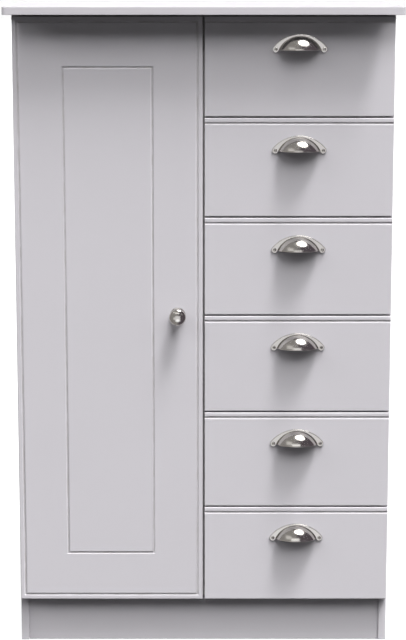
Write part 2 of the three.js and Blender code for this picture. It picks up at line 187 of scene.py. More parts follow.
# What polished metal sees round the studio. Heights and sides are degrees, seen from the object
mirrored = {
    "roomLeft": (0.29, 0.28, 0.275, 1),
    "roomRight": (0.10, 0.085, 0.10, 1),
    "roomMiddle": (-0.12, 0.22),       # where left turns to right, as parts of a unit direction
    "backdrop": (0.95, 0.95, 0.95, 1),
    "backdropStart": 0.45,
    "backdropEnd": 0.65,
    "softbox": {"side": 38, "height": 69, "radius": 16.5, "soft": 2, "colour": (6, 6, 6, 1)},
    "litFloor": {"side": 0, "height": -29, "radius": 10, "soft": 5, "colour": (1.35, 1.37, 1.42, 1)},
    # pale patches: from and to, up and across, as parts of a unit direction
    "windows": (
        {"up": (0.5, 0.7), "across": (-0.65, -0.3), "soft": 0.07, "colour": (0.75, 0.74, 0.73, 1)},
        {"up": (0.2, 0.36), "across": (0.4, 0.7), "soft": 0.07, "colour": (0.32, 0.31, 0.32, 1)},
        {"up": (-0.38, -0.1), "across": (-0.5, 0), "soft": 0.06, "colour": (0.8, 0.79, 0.79, 1)},
        {"up": (-0.6, 0.06), "across": (-0.28, 0.3), "soft": 0.05, "colour": (0.84, 0.84, 0.87, 1)},
        {"up": (0.36, 0.56), "across": (-0.3, 0.24), "soft": 0.04, "colour": (1.2, 1.2, 1.2, 1)},
    ),
}


def aimLight(name, side, front, up, strength, spread):
    data = bpy.data.lights.new(name, "SUN")
    data.energy = strength
    data.angle = math.radians(spread)
    light = bpy.data.objects.new(name, data)
    light.rotation_mode = "QUATERNION"
    light.rotation_quaternion = Vector((side, -front, up)).to_track_quat("Z", "Y")
    light.visible_glossy = False
    scene.collection.objects.link(light)
    return light


def lightStudio(setup):
    wide = setup["wideSpread"]
    lean = math.tan(math.radians(setup["keySideAngle"]))
    rise = math.radians(setup["keyHeightAngle"])
    for name, offset, strength, spread in setup["keyParts"]:
        aimLight(name, lean + offset, math.cos(rise), math.sin(rise), strength, spread)
    rise = math.radians(setup["grazeHeightAngle"])
    strength, spread = setup["grazeStrength"], setup["grazeSpread"]
    aimLight("grazeLight", lean, math.cos(rise), math.sin(rise), strength, spread)
    low = math.tan(math.radians(setup["sideHeightAngle"]))
    for name, side in (("rightLight", 1), ("leftLight", -1)):
        aimLight(name, side, -setup["sideBehind"], low, setup["sideStrength"], wide)
    rise = math.radians(setup["backHeightAngle"])
    aimLight("backLight", 0, -math.cos(rise), math.sin(rise), setup["backStrength"], wide)
    aimLight("edgeLight", setup["edgeSide"], 1, setup["edgeHeight"], setup["edgeStrength"], wide)


def lightOnly(lightName, words):
    # the light reaches only the pieces whose names start with the words
    lit = bpy.data.collections.new(lightName + "Pieces")
    for piece in list(scene.objects):
        if piece.type == "MESH" and piece.name.startswith(words):
            lit.objects.link(piece)
    bpy.data.objects[lightName].light_linking.receiver_collection = lit


def discMask(tree, direction, setup, x, y):
    side, height = math.radians(setup["side"]), math.radians(setup["height"])
    facing = addNode(tree, "ShaderNodeVectorMath", x, y, operation="DOT_PRODUCT")
    feed(tree, facing.inputs[0], direction)
    facing.inputs[1].default_value = (
        math.sin(side) * math.cos(height), -math.cos(side) * math.cos(height), math.sin(height),
    )
    outer = math.cos(math.radians(setup["radius"] + setup["soft"]))
    inner = math.cos(math.radians(setup["radius"] - setup["soft"]))
    return mapRange(tree, facing.outputs["Value"], outer, inner, 0, 1, x + 180, y, True)


def windowMask(tree, across, up, setup, x, y):
    soft = setup["soft"]
    mask = 1
    for value, ends in ((up, setup["up"]), (across, setup["across"])):
        for toLow, end in enumerate(ends):
            edge = mapRange(tree, value, end - soft, end + soft, toLow, 1 - toLow, x, y, True)
            mask = mathNode(tree, "MULTIPLY", edge, mask, x + 180, y)
            y -= 180
    return mask


def surroundWorld(setup, seen):
    world = bpy.data.worlds.new("studio")
    scene.world = world
    world.use_nodes = True
    tree = world.node_tree
    tree.nodes.clear()
    out = addNode(tree, "ShaderNodeOutputWorld", 1100, 0)
    path = addNode(tree, "ShaderNodeLightPath", 0, 400)
    direction = addNode(tree, "ShaderNodeTexCoord", -300, 0).outputs["Generated"]
    split = addNode(tree, "ShaderNodeSeparateXYZ", -100, 0)
    feed(tree, split.inputs[0], direction)
    across, back, up = split.outputs
    start, end = seen["roomMiddle"]
    right = mapRange(tree, across, start, end, 0, 1, 100, 0, True)
    room = mixColour(tree, right, seen["roomLeft"], seen["roomRight"], 300, 0)
    for window in seen["windows"]:
        mask = windowMask(tree, across, up, window, 100, -200)
        room = mixColour(tree, mask, room, window["colour"], 480, 0)
    for i, name in enumerate(("litFloor", "softbox")):
        disc = discMask(tree, direction, seen[name], 100, -1000 - 200 * i)
        room = mixColour(tree, disc, room, seen[name]["colour"], 640 + 100 * i, -100)
    behind = mapRange(tree, back, seen["backdropStart"], seen["backdropEnd"], 0, 1, 100, -1500, True)
    room = mixColour(tree, behind, room, seen["backdrop"], 840, -200)
    ambient = addNode(tree, "ShaderNodeBackground", 860, -80)
    ambient.inputs["Color"].default_value = setup["ambientColour"]
    ambient.inputs["Strength"].default_value = setup["ambient"]
    shiny = addNode(tree, "ShaderNodeBackground", 860, 0)
    feed(tree, shiny.inputs["Color"], room)
    white = addNode(tree, "ShaderNodeBackground", 860, 320)
    white.inputs["Color"].default_value = (1, 1, 1, 1)
    glossy, through = path.outputs["Is Glossy Ray"], path.outputs["Is Transmission Ray"]
    shinyRay = mathNode(tree, "MAXIMUM", glossy, through, 200, 420)
    forShiny = addNode(tree, "ShaderNodeMixShader", 1000, -40)
    tree.links.new(shinyRay, forShiny.inputs[0])
    tree.links.new(ambient.outputs[0], forShiny.inputs[1])
    tree.links.new(shiny.outputs[0], forShiny.inputs[2])
    forCamera = addNode(tree, "ShaderNodeMixShader", 1000, 160)
    tree.links.new(path.outputs["Is Camera Ray"], forCamera.inputs[0])
    tree.links.new(forShiny.outputs[0], forCamera.inputs[1])
    tree.links.new(white.outputs[0], forCamera.inputs[2])
    tree.links.new(forCamera.outputs[0], out.inputs["Surface"])


def emptyLook(name):
    look = bpy.data.materials.new(name)
    look.use_nodes = True
    look.node_tree.nodes.clear()
    return look, look.node_tree


def greyDiffuse(tree, grey, x, y):
    node = addNode(tree, "ShaderNodeBsdfDiffuse", x, y)
    node.inputs["Color"].default_value = (grey, grey, grey, 1)
    return node


def floorLook(setup):
    # glows for the camera and keeps the shadow; other rays meet a dark floor
    look, tree = emptyLook("paleFloor")
    out = addNode(tree, "ShaderNodeOutputMaterial", 1000, 0)
    path = addNode(tree, "ShaderNodeLightPath", 0, 300)
    glow = addNode(tree, "ShaderNodeEmission", 520, 200)
    glow.inputs["Strength"].default_value = setup["floorGlow"]
    pale = greyDiffuse(tree, setup["floorPale"], 520, 80)
    lit = addNode(tree, "ShaderNodeAddShader", 700, 140)
    tree.links.new(glow.outputs[0], lit.inputs[0])
    tree.links.new(pale.outputs[0], lit.inputs[1])
    bounce = greyDiffuse(tree, setup["floorBounce"], 520, -100)
    forCamera = addNode(tree, "ShaderNodeMixShader", 860, 60)
    tree.links.new(path.outputs["Is Camera Ray"], forCamera.inputs[0])
    tree.links.new(bounce.outputs[0], forCamera.inputs[1])
    tree.links.new(lit.outputs[0], forCamera.inputs[2])
    tree.links.new(forCamera.outputs[0], out.inputs["Surface"])
    return look


def blackLook():
    look, tree = emptyLook("blackCard")
    out = addNode(tree, "ShaderNodeOutputMaterial", 200, 0)
    tree.links.new(greyDiffuse(tree, 0, 0, 0).outputs[0], out.inputs["Surface"])
    return look


def flatCard(name, low, high, look):
    mesh = bpy.data.meshes.new(name)
    corners = [
        (low.x, low.y, low.z), (high.x, low.y, low.z), (high.x, high.y, high.z), (low.x, high.y, high.z),
    ]
    mesh.from_pydata(corners, [], [(0, 1, 2, 3)])
    mesh.materials.append(look)
    card = bpy.data.objects.new(name, mesh)
    card.visible_glossy = False
    scene.collection.objects.link(card)
    return card


def dressStudio(setup):
    half = setup["floorSize"] / 2
    flatCard("floor", Vector((-half, -half, 0)), Vector((half, half, 0)), floorLook(setup))
    topLow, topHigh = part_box("top_panel")
    inset = setup["flagEndInset"]
    near = Vector((topLow.x + inset, topLow.y - setup["flagDepth"], topLow.z))
    flag = flatCard("shadeFlag", near, Vector((topHigh.x - inset, topLow.y, topLow.z)), blackLook())
    # diffuse rays meet the card too: a lamp would shine through it otherwise
    flag.visible_camera = False
    flag.visible_transmission = False


lightStudio(studio)
surroundWorld(studio, mirrored)
dressStudio(studio)
print("studio lit")


# Shared effects, as shader node groups. Patterns: scale and detail of each noise, in object metres
patterns = {
    "cloud": (5, 3),
    "fleck": (420, 2),
    "handled": (17, 4),
    "rubbed": (55, 5),
    "drift": (38, 6),
    "brushing": (900, 3),
    "finger": (70, 4),
    "tarnish": (26, 3),
    "fibre": (160, 5),
}
reliefDepth = {"foil": 0.00004, "metal": 0.00001, "fibre": 0.0002}


def newGroup(name, inputs, outputs):
    tree = bpy.data.node_groups.new(name, "ShaderNodeTree")
    for label, kind, value in inputs:
        socket = tree.interface.new_socket(label, in_out="INPUT", socket_type="NodeSocket" + kind)
        socket.default_value = value
    for label, kind in outputs:
        tree.interface.new_socket(label, in_out="OUTPUT", socket_type="NodeSocket" + kind)
    return tree, addNode(tree, "NodeGroupInput", -900, 0), addNode(tree, "NodeGroupOutput", 900, 0)


def makeFoilGroup():
    # printed foil: soft cloudy tone, fine embossed pores and slow changes of gloss
    tree, given, out = newGroup("foilSurface", [
        ("Colour", "Color", (0.8, 0.8, 0.8, 1)), ("Mottle", "Float", 0.02), ("Pore Size", "Float", 1400),
        ("Relief", "Float", 0.25), ("Roughness", "Float", 0.5), ("Roughness Spread", "Float", 0.06),
    ], [("Colour", "Color"), ("Roughness", "Float"), ("Normal", "Vector")])
    place = addNode(tree, "ShaderNodeTexCoord", -900, -300).outputs["Object"]
    cloud = noiseField(tree, place, *patterns["cloud"], -700, 200)
    fleck = noiseField(tree, place, *patterns["fleck"], -700, 0)
    pore = noiseField(tree, place, given.outputs["Pore Size"], 3, -700, -200)
    handled = noiseField(tree, place, *patterns["handled"], -700, -400)
    darkest = mathNode(tree, "SUBTRACT", 1, given.outputs["Mottle"], -500, 260)
    tone = mapRange(tree, cloud, 0.32, 0.68, darkest, 1, -300, 260)
    flecks = mapRange(tree, fleck, 0.25, 0.5, darkest, 1, -300, 60)
    both = mathNode(tree, "MULTIPLY", tone, flecks, -100, 200)
    tinted = addNode(tree, "ShaderNodeVectorMath", 100, 200, operation="SCALE")
    feed(tree, tinted.inputs[0], given.outputs["Colour"])
    feed(tree, tinted.inputs["Scale"], both)
    feed(tree, out.inputs["Colour"], tinted.outputs[0])
    middle, spread = given.outputs["Roughness"], given.outputs["Roughness Spread"]
    smoothest = mathNode(tree, "SUBTRACT", middle, spread, -300, -100)
    roughest = mathNode(tree, "ADD", middle, spread, -300, -260)
    feed(tree, out.inputs["Roughness"], mapRange(tree, handled, 0.3, 0.7, smoothest, roughest, -100, -100))
    bump = addNode(tree, "ShaderNodeBump", 100, -300)
    bump.inputs["Distance"].default_value = reliefDepth["foil"]
    feed(tree, bump.inputs["Strength"], given.outputs["Relief"])
    feed(tree, bump.inputs["Height"], pore)
    feed(tree, out.inputs["Normal"], bump.outputs[0])
    return tree


def makeRubGroup():
    # edges worn a little by hands: where the mesh says "edge" and the noise agrees
    tree, given, out = newGroup("edgeRub", [
        ("Colour", "Color", (0.8, 0.8, 0.8, 1)), ("Worn Colour", "Color", (0.9, 0.9, 0.9, 1)),
        ("Amount", "Float", 0.5),
    ], [("Colour", "Color"), ("Mask", "Float")])
    place = addNode(tree, "ShaderNodeTexCoord", -900, -300).outputs["Object"]
    edge = addNode(tree, "ShaderNodeAttribute", -700, 100, attribute_name="edge").outputs["Fac"]
    noise = noiseField(tree, place, *patterns["rubbed"], -700, -200)
    broken = mapRange(tree, noise, 0.45, 0.62, 0, 1, -500, -200)
    mask = mathNode(tree, "MULTIPLY", edge, broken, -300, 0)
    mask = mathNode(tree, "MULTIPLY", mask, given.outputs["Amount"], -100, 0)
    feed(tree, out.inputs["Colour"], mixColour(
        tree, mask, given.outputs["Colour"], given.outputs["Worn Colour"], 200, 100,
    ))
    feed(tree, out.inputs["Mask"], mask)
    return tree


def makeDustAndShadeGroup():
    # thin dust on faces that look up, and painted shade in grooves, creases and hollows where the mesh says
    # "recess"
    tree, given, out = newGroup("settledDust", [
        ("Colour", "Color", (0.8, 0.8, 0.8, 1)), ("Dust Colour", "Color", (0.4, 0.38, 0.36, 1)),
        ("Amount", "Float", 0.1),
    ], [("Colour", "Color"), ("Mask", "Float")])
    place = addNode(tree, "ShaderNodeTexCoord", -900, -300).outputs["Object"]
    facing = addNode(tree, "ShaderNodeNewGeometry", -900, 100).outputs["Normal"]
    split = addNode(tree, "ShaderNodeSeparateXYZ", -700, 100)
    feed(tree, split.inputs[0], facing)
    level = mapRange(tree, split.outputs["Z"], 0.7, 1, 0, 0.5, -500, 100)
    # recess: where grooves, creases and hollows get painted shade
    recess = addNode(tree, "ShaderNodeAttribute", -700, 300, attribute_name="recess").outputs["Fac"]
    where = mathNode(tree, "MAXIMUM", level, recess, -300, 200)
    noise = noiseField(tree, place, *patterns["drift"], -700, -200)
    drift = mapRange(tree, noise, 0.35, 0.7, 0.2, 1, -500, -200)
    mask = mathNode(tree, "MULTIPLY", where, drift, -100, 100)
    mask = mathNode(tree, "MULTIPLY", mask, given.outputs["Amount"], 60, 100)
    feed(tree, out.inputs["Colour"], mixColour(
        tree, mask, given.outputs["Colour"], given.outputs["Dust Colour"], 300, 100,
    ))
    feed(tree, out.inputs["Mask"], mask)
    return tree


def makeMetalGroup():
    # plated or stamped metal: fine brushing one way, finger smudges and a slight unevenness
    tree, given, out = newGroup("platedMetal", [
        ("Colour", "Color", (0.7, 0.67, 0.63, 1)), ("Roughness", "Float", 0.15), ("Smudge", "Float", 0.08),
        ("Grain Stretch", "Vector", (1, 1, 1)), ("Relief", "Float", 0.1),
    ], [("Colour", "Color"), ("Roughness", "Float"), ("Normal", "Vector")])
    place = addNode(tree, "ShaderNodeTexCoord", -900, -300).outputs["Object"]
    stretched = addNode(tree, "ShaderNodeVectorMath", -700, -300, operation="MULTIPLY")
    feed(tree, stretched.inputs[0], place)
    feed(tree, stretched.inputs[1], given.outputs["Grain Stretch"])
    brushing = noiseField(tree, stretched.outputs[0], *patterns["brushing"], -500, -300)
    finger = noiseField(tree, place, *patterns["finger"], -500, 0)
    tarnish = noiseField(tree, place, *patterns["tarnish"], -500, 200)
    tone = mapRange(tree, tarnish, 0.3, 0.7, 0.93, 1, -300, 200)
    tinted = addNode(tree, "ShaderNodeVectorMath", -100, 200, operation="SCALE")
    feed(tree, tinted.inputs[0], given.outputs["Colour"])
    feed(tree, tinted.inputs["Scale"], tone)
    feed(tree, out.inputs["Colour"], tinted.outputs[0])
    smudge = mapRange(tree, finger, 0.45, 0.75, 0, given.outputs["Smudge"], -300, 0)
    brushed = mapRange(tree, brushing, 0.3, 0.7, 0, 0.03, -300, -200)
    rough = mathNode(tree, "ADD", given.outputs["Roughness"], smudge, -100, 0)
    feed(tree, out.inputs["Roughness"], mathNode(tree, "ADD", rough, brushed, 60, -60))
    bump = addNode(tree, "ShaderNodeBump", 100, -300)
    bump.inputs["Distance"].default_value = reliefDepth["metal"]
    feed(tree, bump.inputs["Strength"], given.outputs["Relief"])
    feed(tree, bump.inputs["Height"], brushing)
    feed(tree, out.inputs["Normal"], bump.outputs[0])
    return tree


def makeFibreGroup():
    # pressed wood: chips of several browns, lighter or darker by size and colour given
    tree, given, out = newGroup("pressedWood", [
        ("Light Colour", "Color", (0.6, 0.45, 0.3, 1)), ("Dark Colour", "Color", (0.3, 0.2, 0.12, 1)),
        ("Chip Size", "Float", 400), ("Relief", "Float", 0.4),
    ], [("Colour", "Color"), ("Roughness", "Float"), ("Normal", "Vector")])
    place = addNode(tree, "ShaderNodeTexCoord", -900, -300).outputs["Object"]
    chips = addNode(tree, "ShaderNodeTexVoronoi", -500, 100)
    feed(tree, chips.inputs["Vector"], place)
    feed(tree, chips.inputs["Scale"], given.outputs["Chip Size"])
    split = addNode(tree, "ShaderNodeSeparateColor", -300, 100)
    feed(tree, split.inputs[0], chips.outputs["Color"])
    fibre = noiseField(tree, place, *patterns["fibre"], -500, -200)
    chipShare = mathNode(tree, "MULTIPLY", split.outputs[0], 0.55, -100, 100)
    fibreShare = mathNode(tree, "MULTIPLY", fibre, 0.45, -100, -60)
    shade = mathNode(tree, "ADD", chipShare, fibreShare, 60, 60)
    feed(tree, out.inputs["Colour"], mixColour(
        tree, shade, given.outputs["Dark Colour"], given.outputs["Light Colour"], 240, 100,
    ))
    feed(tree, out.inputs["Roughness"], mapRange(tree, fibre, 0.3, 0.7, 0.7, 0.9, 240, -100))
    bump = addNode(tree, "ShaderNodeBump", 240, -300)
    bump.inputs["Distance"].default_value = reliefDepth["fibre"]
    feed(tree, bump.inputs["Strength"], given.outputs["Relief"])
    feed(tree, bump.inputs["Height"], shade)
    feed(tree, out.inputs["Normal"], bump.outputs[0])
    return tree


foilGroup = makeFoilGroup()
rubGroup = makeRubGroup()
dustAndShadeGroup = makeDustAndShadeGroup()
metalGroup = makeMetalGroup()
fibreGroup = makeFibreGroup()


def addGroup(tree, group, x, y, values):
    node = addNode(tree, "ShaderNodeGroup", x, y, node_tree=group)
    for label, value in values.items():
        feed(tree, node.inputs[label], value)
    return node


def newLook(name, setup):
    look = bpy.data.materials.new(name)
    look.use_nodes = True
    tree = look.node_tree
    bsdf = tree.nodes["Principled BSDF"]
    surface = addGroup(tree, setup["group"], -900, 0, setup["surface"])
    colour = surface.outputs["Colour"]
    for group, key, x in ((rubGroup, "worn", -650), (dustAndShadeGroup, "dustAndShade", -400)):
        if key in setup:
            colour = addGroup(tree, group, x, 200, {"Colour": colour, **setup[key]}).outputs["Colour"]
    feed(tree, bsdf.inputs["Base Color"], colour)
    feed(tree, bsdf.inputs["Roughness"], surface.outputs["Roughness"])
    feed(tree, bsdf.inputs["Normal"], surface.outputs["Normal"])
    for label, value in setup["shader"].items():
        bsdf.inputs[label].default_value = value
    return look


# Finishes
pale = fromScreen(228, 226, 229)
foilColour = fromScreen(205, 202, 207)
greyDustAndShade = (0.4, 0.38, 0.36, 1)
finishes = {
    "caseFoil": {
        "group": foilGroup,
        "surface": {
            "Colour": foilColour, "Mottle": 0.012, "Pore Size": 1500, "Relief": 0.2,
            "Roughness": 0.52, "Roughness Spread": 0.05,
        },
        "shader": {"Specular IOR Level": 0.3},
        "worn": {"Worn Colour": pale, "Amount": 0.35},
        "dustAndShade": {"Dust Colour": greyDustAndShade, "Amount": 0.12},
    },
    "frontFoil": {
        "group": foilGroup,
        "surface": {
            "Colour": foilColour, "Mottle": 0.01, "Pore Size": 1500, "Relief": 0.2,
            "Roughness": 0.48, "Roughness Spread": 0.05,
        },
        "shader": {"Specular IOR Level": 0.3},
        "worn": {"Worn Colour": pale, "Amount": 0.35},
        # darker grooves and up-facing arrises on the fronts: painted shade that dims their lit walls
        "dustAndShade": {"Dust Colour": greyDustAndShade, "Amount": 0.5},
    },
    "insideFoil": {
        "group": foilGroup,
        "surface": {
            "Colour": fromScreen(230, 228, 228), "Mottle": 0.02, "Pore Size": 900, "Relief": 0.35,
            "Roughness": 0.58, "Roughness Spread": 0.07,
        },
        "shader": {"Specular IOR Level": 0.3},
        "worn": {"Worn Colour": fromScreen(205, 202, 198), "Amount": 0.4},
        "dustAndShade": {"Dust Colour": greyDustAndShade, "Amount": 0.25},
    },
    "hardboard": {
        "group": foilGroup,
        "surface": {
            "Colour": fromScreen(220, 216, 210), "Mottle": 0.05, "Pore Size": 600, "Relief": 0.6,
            "Roughness": 0.66, "Roughness Spread": 0.08,
        },
        "shader": {"Specular IOR Level": 0.25},
        "worn": {"Worn Colour": pale, "Amount": 0.2},
        "dustAndShade": {"Dust Colour": greyDustAndShade, "Amount": 0.3},
    },
    "runnerPlastic": {
        "group": foilGroup,
        "surface": {
            "Colour": fromScreen(233, 231, 225), "Mottle": 0.03, "Pore Size": 2500, "Relief": 0.15,
            "Roughness": 0.36, "Roughness Spread": 0.08,
        },
        "shader": {"Specular IOR Level": 0.5, "Subsurface Weight": 0.04},
        "worn": {"Worn Colour": fromScreen(246, 245, 241), "Amount": 0.5},
        "dustAndShade": {"Dust Colour": greyDustAndShade, "Amount": 0.2},
    },
    "satinNickel": {
        "group": metalGroup,
        "surface": {
            "Colour": (0.725, 0.698, 0.659, 1), "Roughness": 0.12, "Smudge": 0.06,
            "Grain Stretch": (0.15, 1, 1), "Relief": 0.12,
        },
        "shader": {"Metallic": 1},
        "worn": {"Worn Colour": (0.86, 0.84, 0.80, 1), "Amount": 0.5},
        # near black, nearly full: painted shade and dark reflection in the creases, on the knob's neck and
        # on up-facing parts
        "dustAndShade": {"Dust Colour": (0.1, 0.09, 0.085, 1), "Amount": 0.95},
    },
    "hingeSteel": {
        "group": metalGroup,
        "surface": {
            "Colour": (0.706, 0.714, 0.722, 1), "Roughness": 0.3, "Smudge": 0.12,
            "Grain Stretch": (1, 0.1, 1), "Relief": 0.3,
        },
        "shader": {"Metallic": 1},
        "worn": {"Worn Colour": (0.85, 0.85, 0.85, 1), "Amount": 0.5},
        "dustAndShade": {"Dust Colour": greyDustAndShade, "Amount": 0.1},
    },
    "railChrome": {
        "group": metalGroup,
        "surface": {
            "Colour": (0.788, 0.796, 0.804, 1), "Roughness": 0.1, "Smudge": 0.1,
            "Grain Stretch": (0.05, 1, 1), "Relief": 0.1,
        },
        "shader": {"Metallic": 1},
        "worn": {"Worn Colour": (0.9, 0.9, 0.9, 1), "Amount": 0.3},
        "dustAndShade": {"Dust Colour": greyDustAndShade, "Amount": 0.1},
    },
    "screwSteel": {
        "group": metalGroup,
        "surface": {
            "Colour": (0.62, 0.62, 0.61, 1), "Roughness": 0.26, "Smudge": 0.15,
            "Grain Stretch": (1, 1, 1), "Relief": 0.4,
        },
        "shader": {"Metallic": 1},
        "worn": {"Worn Colour": (0.8, 0.8, 0.8, 1), "Amount": 0.6},
        "dustAndShade": {"Dust Colour": greyDustAndShade, "Amount": 0.2},
    },
    "chipboardEdge": {
        "group": fibreGroup,
        "surface": {
            "Light Colour": (0.62, 0.46, 0.29, 1), "Dark Colour": (0.30, 0.19, 0.10, 1),
            "Chip Size": 420, "Relief": 0.5,
        },
        "shader": {"Specular IOR Level": 0.2},
    },
    "rawHardboard": {
        "group": fibreGroup,
        "surface": {
            "Light Colour": (0.40, 0.27, 0.16, 1), "Dark Colour": (0.25, 0.15, 0.08, 1),
            "Chip Size": 900, "Relief": 0.3,
        },
        "shader": {"Specular IOR Level": 0.3},
    },
}
looks = {name: newLook(name, setup) for name, setup in finishes.items()}
print("finishes made:", len(looks))


# Mesh helpers. A frame turns a flat outline (u, v) and a depth w into the object's x, y, z
flatBand = 0.0015              # narrow strip of the flat face beside an arris, so that shading stays flat
sharpAngle = 32                # degrees between faces that keep a crisp edge


def facingFront(x, y, z):
    return Matrix(((1, 0, 0, x), (0, 0, 1, y), (0, 1, 0, z), (0, 0, 0, 1)))


def facingBack(x, y, z):
    return Matrix(((1, 0, 0, x), (0, 0, -1, y), (0, 1, 0, z), (0, 0, 0, 1)))


def facingSide(x, y, z, side=1):
    return Matrix(((0, 0, side, x), (1, 0, 0, y), (0, 1, 0, z), (0, 0, 0, 1)))


def facingUp(x, y, z):
    return Matrix.Translation((x, y, z))


def newMesh():
    bm = bmesh.new()
    # "edge" marks wear; "recess" marks where painted shade goes
    return bm, (bm.verts.layers.float.new("edge"), bm.verts.layers.float.new("recess"))


def addVert(bm, layers, place, point, edge=0, recess=0):
    vert = bm.verts.new(place @ Vector(point))
    vert[layers[0]] = edge
    vert[layers[1]] = recess
    return vert


def bridge(bm, first, second):
    count = len(first)
    for i in range(count):
        j = (i + 1) % count
        bm.faces.new((first[i], first[j], second[j], second[i]))


def roundedOutline(width, height, corner, steps):
    points = []
    for quarter, (signU, signV) in enumerate(((1, 1), (-1, 1), (-1, -1), (1, -1))):
        for step in range(steps + 1):
            angle = math.pi / 2 * (quarter + step / steps)
            points.append((
                signU * (width / 2 - corner) + corner * math.cos(angle),
                signV * (height / 2 - corner) + corner * math.sin(angle),
            ))
    return points


def insetPolygon(points, inset):
    # moves every side of a counter-clockwise outline inwards
    moved = []
    for i, here in enumerate(points):
        before, after = points[i - 1], points[(i + 1) % len(points)]
        sides = []
        for start, end in ((before, here), (here, after)):
            length = math.hypot(end[0] - start[0], end[1] - start[1])
            sides.append(((start[1] - end[1]) / length, (end[0] - start[0]) / length))
        (firstU, firstV), (secondU, secondV) = sides
        reach = inset / (1 + firstU * secondU + firstV * secondV)
        moved.append((here[0] + reach * (firstU + secondU), here[1] + reach * (firstV + secondV)))
    return moved


def outlineSolid(bm, layers, place, outlineAt, rings):
    # a closed stack of outlines, each (inset, depth, edge, recess), from the front cap to the back cap
    loops = []
    for inset, depth, edge, recess in rings:
        loops.append([addVert(bm, layers, place, (u, v, depth), edge, recess) for u, v in outlineAt(inset)])
    for first, second in zip(loops, loops[1:]):
        bridge(bm, first, second)
    bm.faces.new(loops[0])
    bm.faces.new(loops[-1])


def ringSolid(bm, layers, place, width, height, corner, rings, steps=4):
    def outlineAt(inset):
        return roundedOutline(width - 2 * inset, height - 2 * inset, max(corner - inset, 0), steps)
    outlineSolid(bm, layers, place, outlineAt, rings)


def polygonSolid(bm, layers, place, outline, rings):
    outlineSolid(bm, layers, place, lambda inset: insetPolygon(outline, inset), rings)


def easedEdge(ease, start=0, sense=1, band=flatBand, steps=4):
    # rings round an arris, from the flat face outwards; sense -1 mirrors it for the far face
    rings = [(ease + band, start, 0, 0), (ease, start, 0.2, 0)]
    for step in range(1, steps + 1):
        angle = math.pi / 2 * step / steps
        worn = math.sin(2 * angle) if step < steps else 0.2
        rings.append((ease * (1 - math.sin(angle)), start + sense * ease * (1 - math.cos(angle)), worn, 0))
    rings.append((0, start + sense * (ease + band), 0, 0))
    return rings


def easedEnds(ease, thickness, band=flatBand, farEase=None):
    # both arrises of a board, from the front face round to the back face
    far = easedEdge(ease if farEase is None else farEase, thickness, -1, band)
    return easedEdge(ease, band=band) + far[::-1]


def easedBoard(bm, layers, place, width, height, thickness, ease, corner=None):
    rings = easedEnds(ease, thickness)
    ringSolid(bm, layers, place, width, height, ease / 2 if corner is None else corner, rings)


def gridBoard(bm, layers, place, columns, rows, thickness, backEase):
    # front face as a grid of (position, depth, edge, recess) columns and rows: the deeper one counts
    grid = []
    for v, depthV, edgeV, recessV in rows:
        line = []
        for u, depthU, edgeU, recessU in columns:
            line.append(addVert(
                bm, layers, place, (u, v, max(depthU, depthV)), max(edgeU, edgeV), max(recessU, recessV),
            ))
        grid.append(line)
    for lower, upper in zip(grid, grid[1:]):
        for i in range(len(lower) - 1):
            bm.faces.new((lower[i], lower[i + 1], upper[i + 1], upper[i]))
    rim = [(i, 0) for i in range(len(columns))]
    rim += [(len(columns) - 1, j) for j in range(1, len(rows))]
    rim += [(i, len(rows) - 1) for i in range(len(columns) - 2, -1, -1)]
    rim += [(0, j) for j in range(len(rows) - 2, 0, -1)]
    loops = [[grid[j][i] for i, j in rim]]
    middleU = (columns[0][0] + columns[-1][0]) / 2
    middleV = (rows[0][0] + rows[-1][0]) / 2
    for inset, depth, edge in (
        (0, thickness - backEase - flatBand, 0), (0, thickness - backEase, 0.2),
        (0.3 * backEase, thickness - 0.3 * backEase, 1), (backEase, thickness, 0.2),
        (backEase + flatBand, thickness, 0),
    ):
        loop = []
        for i, j in rim:
            u, v = columns[i][0], rows[j][0]
            halfU, halfV = abs(columns[-1][0] - middleU), abs(rows[-1][0] - middleV)
            u = middleU + max(-halfU + inset, min(halfU - inset, u - middleU))
            v = middleV + max(-halfV + inset, min(halfV - inset, v - middleV))
            loop.append(addVert(bm, layers, place, (u, v, depth), edge))
        loops.append(loop)
    for first, second in zip(loops, loops[1:]):
        bridge(bm, first, second)
    bm.faces.new(loops[-1])


def easedSpan(low, high, ease, band=flatBand, steps=4):
    # grid lines across a board with both of its arrises rounded
    near = []
    for step in range(steps + 1):
        angle = math.pi / 2 * step / steps
        worn = math.sin(2 * angle) if 0 < step < steps else 0.2
        near.append((ease * (1 - math.cos(angle)), ease * (1 - math.sin(angle)), worn, 0))
    near.append((ease + band, 0, 0, 0))
    first = [(low + inset, depth, edge, recess) for inset, depth, edge, recess in near]
    last = [(high - inset, depth, edge, recess) for inset, depth, edge, recess in reversed(near)]
    return first + last


def routedGroove(middle, setup):
    # lines across a flat-bottomed groove with soft shoulders, from one side to the other
    half, deep, floor = setup["grooveWidth"] / 2, setup["grooveDepth"], setup["grooveFloor"] / 2
    soft = setup["grooveSoftness"]
    # the recess values paint shade on the groove's walls and floor
    side = [
        (half + soft + flatBand, 0, 0, 0), (half + soft, 0, 0.2, 0), (half, 0.25 * soft, 1, 0),
        (half - soft, soft, 0.3, 0.1), (floor + soft, deep - soft, 0, 0.7), (floor, deep, 0, 1),
    ]
    lines = [(middle + offset, depth, edge, recess) for offset, depth, edge, recess in side]
    lines += [(middle - offset, depth, edge, recess) for offset, depth, edge, recess in reversed(side)]
    return lines


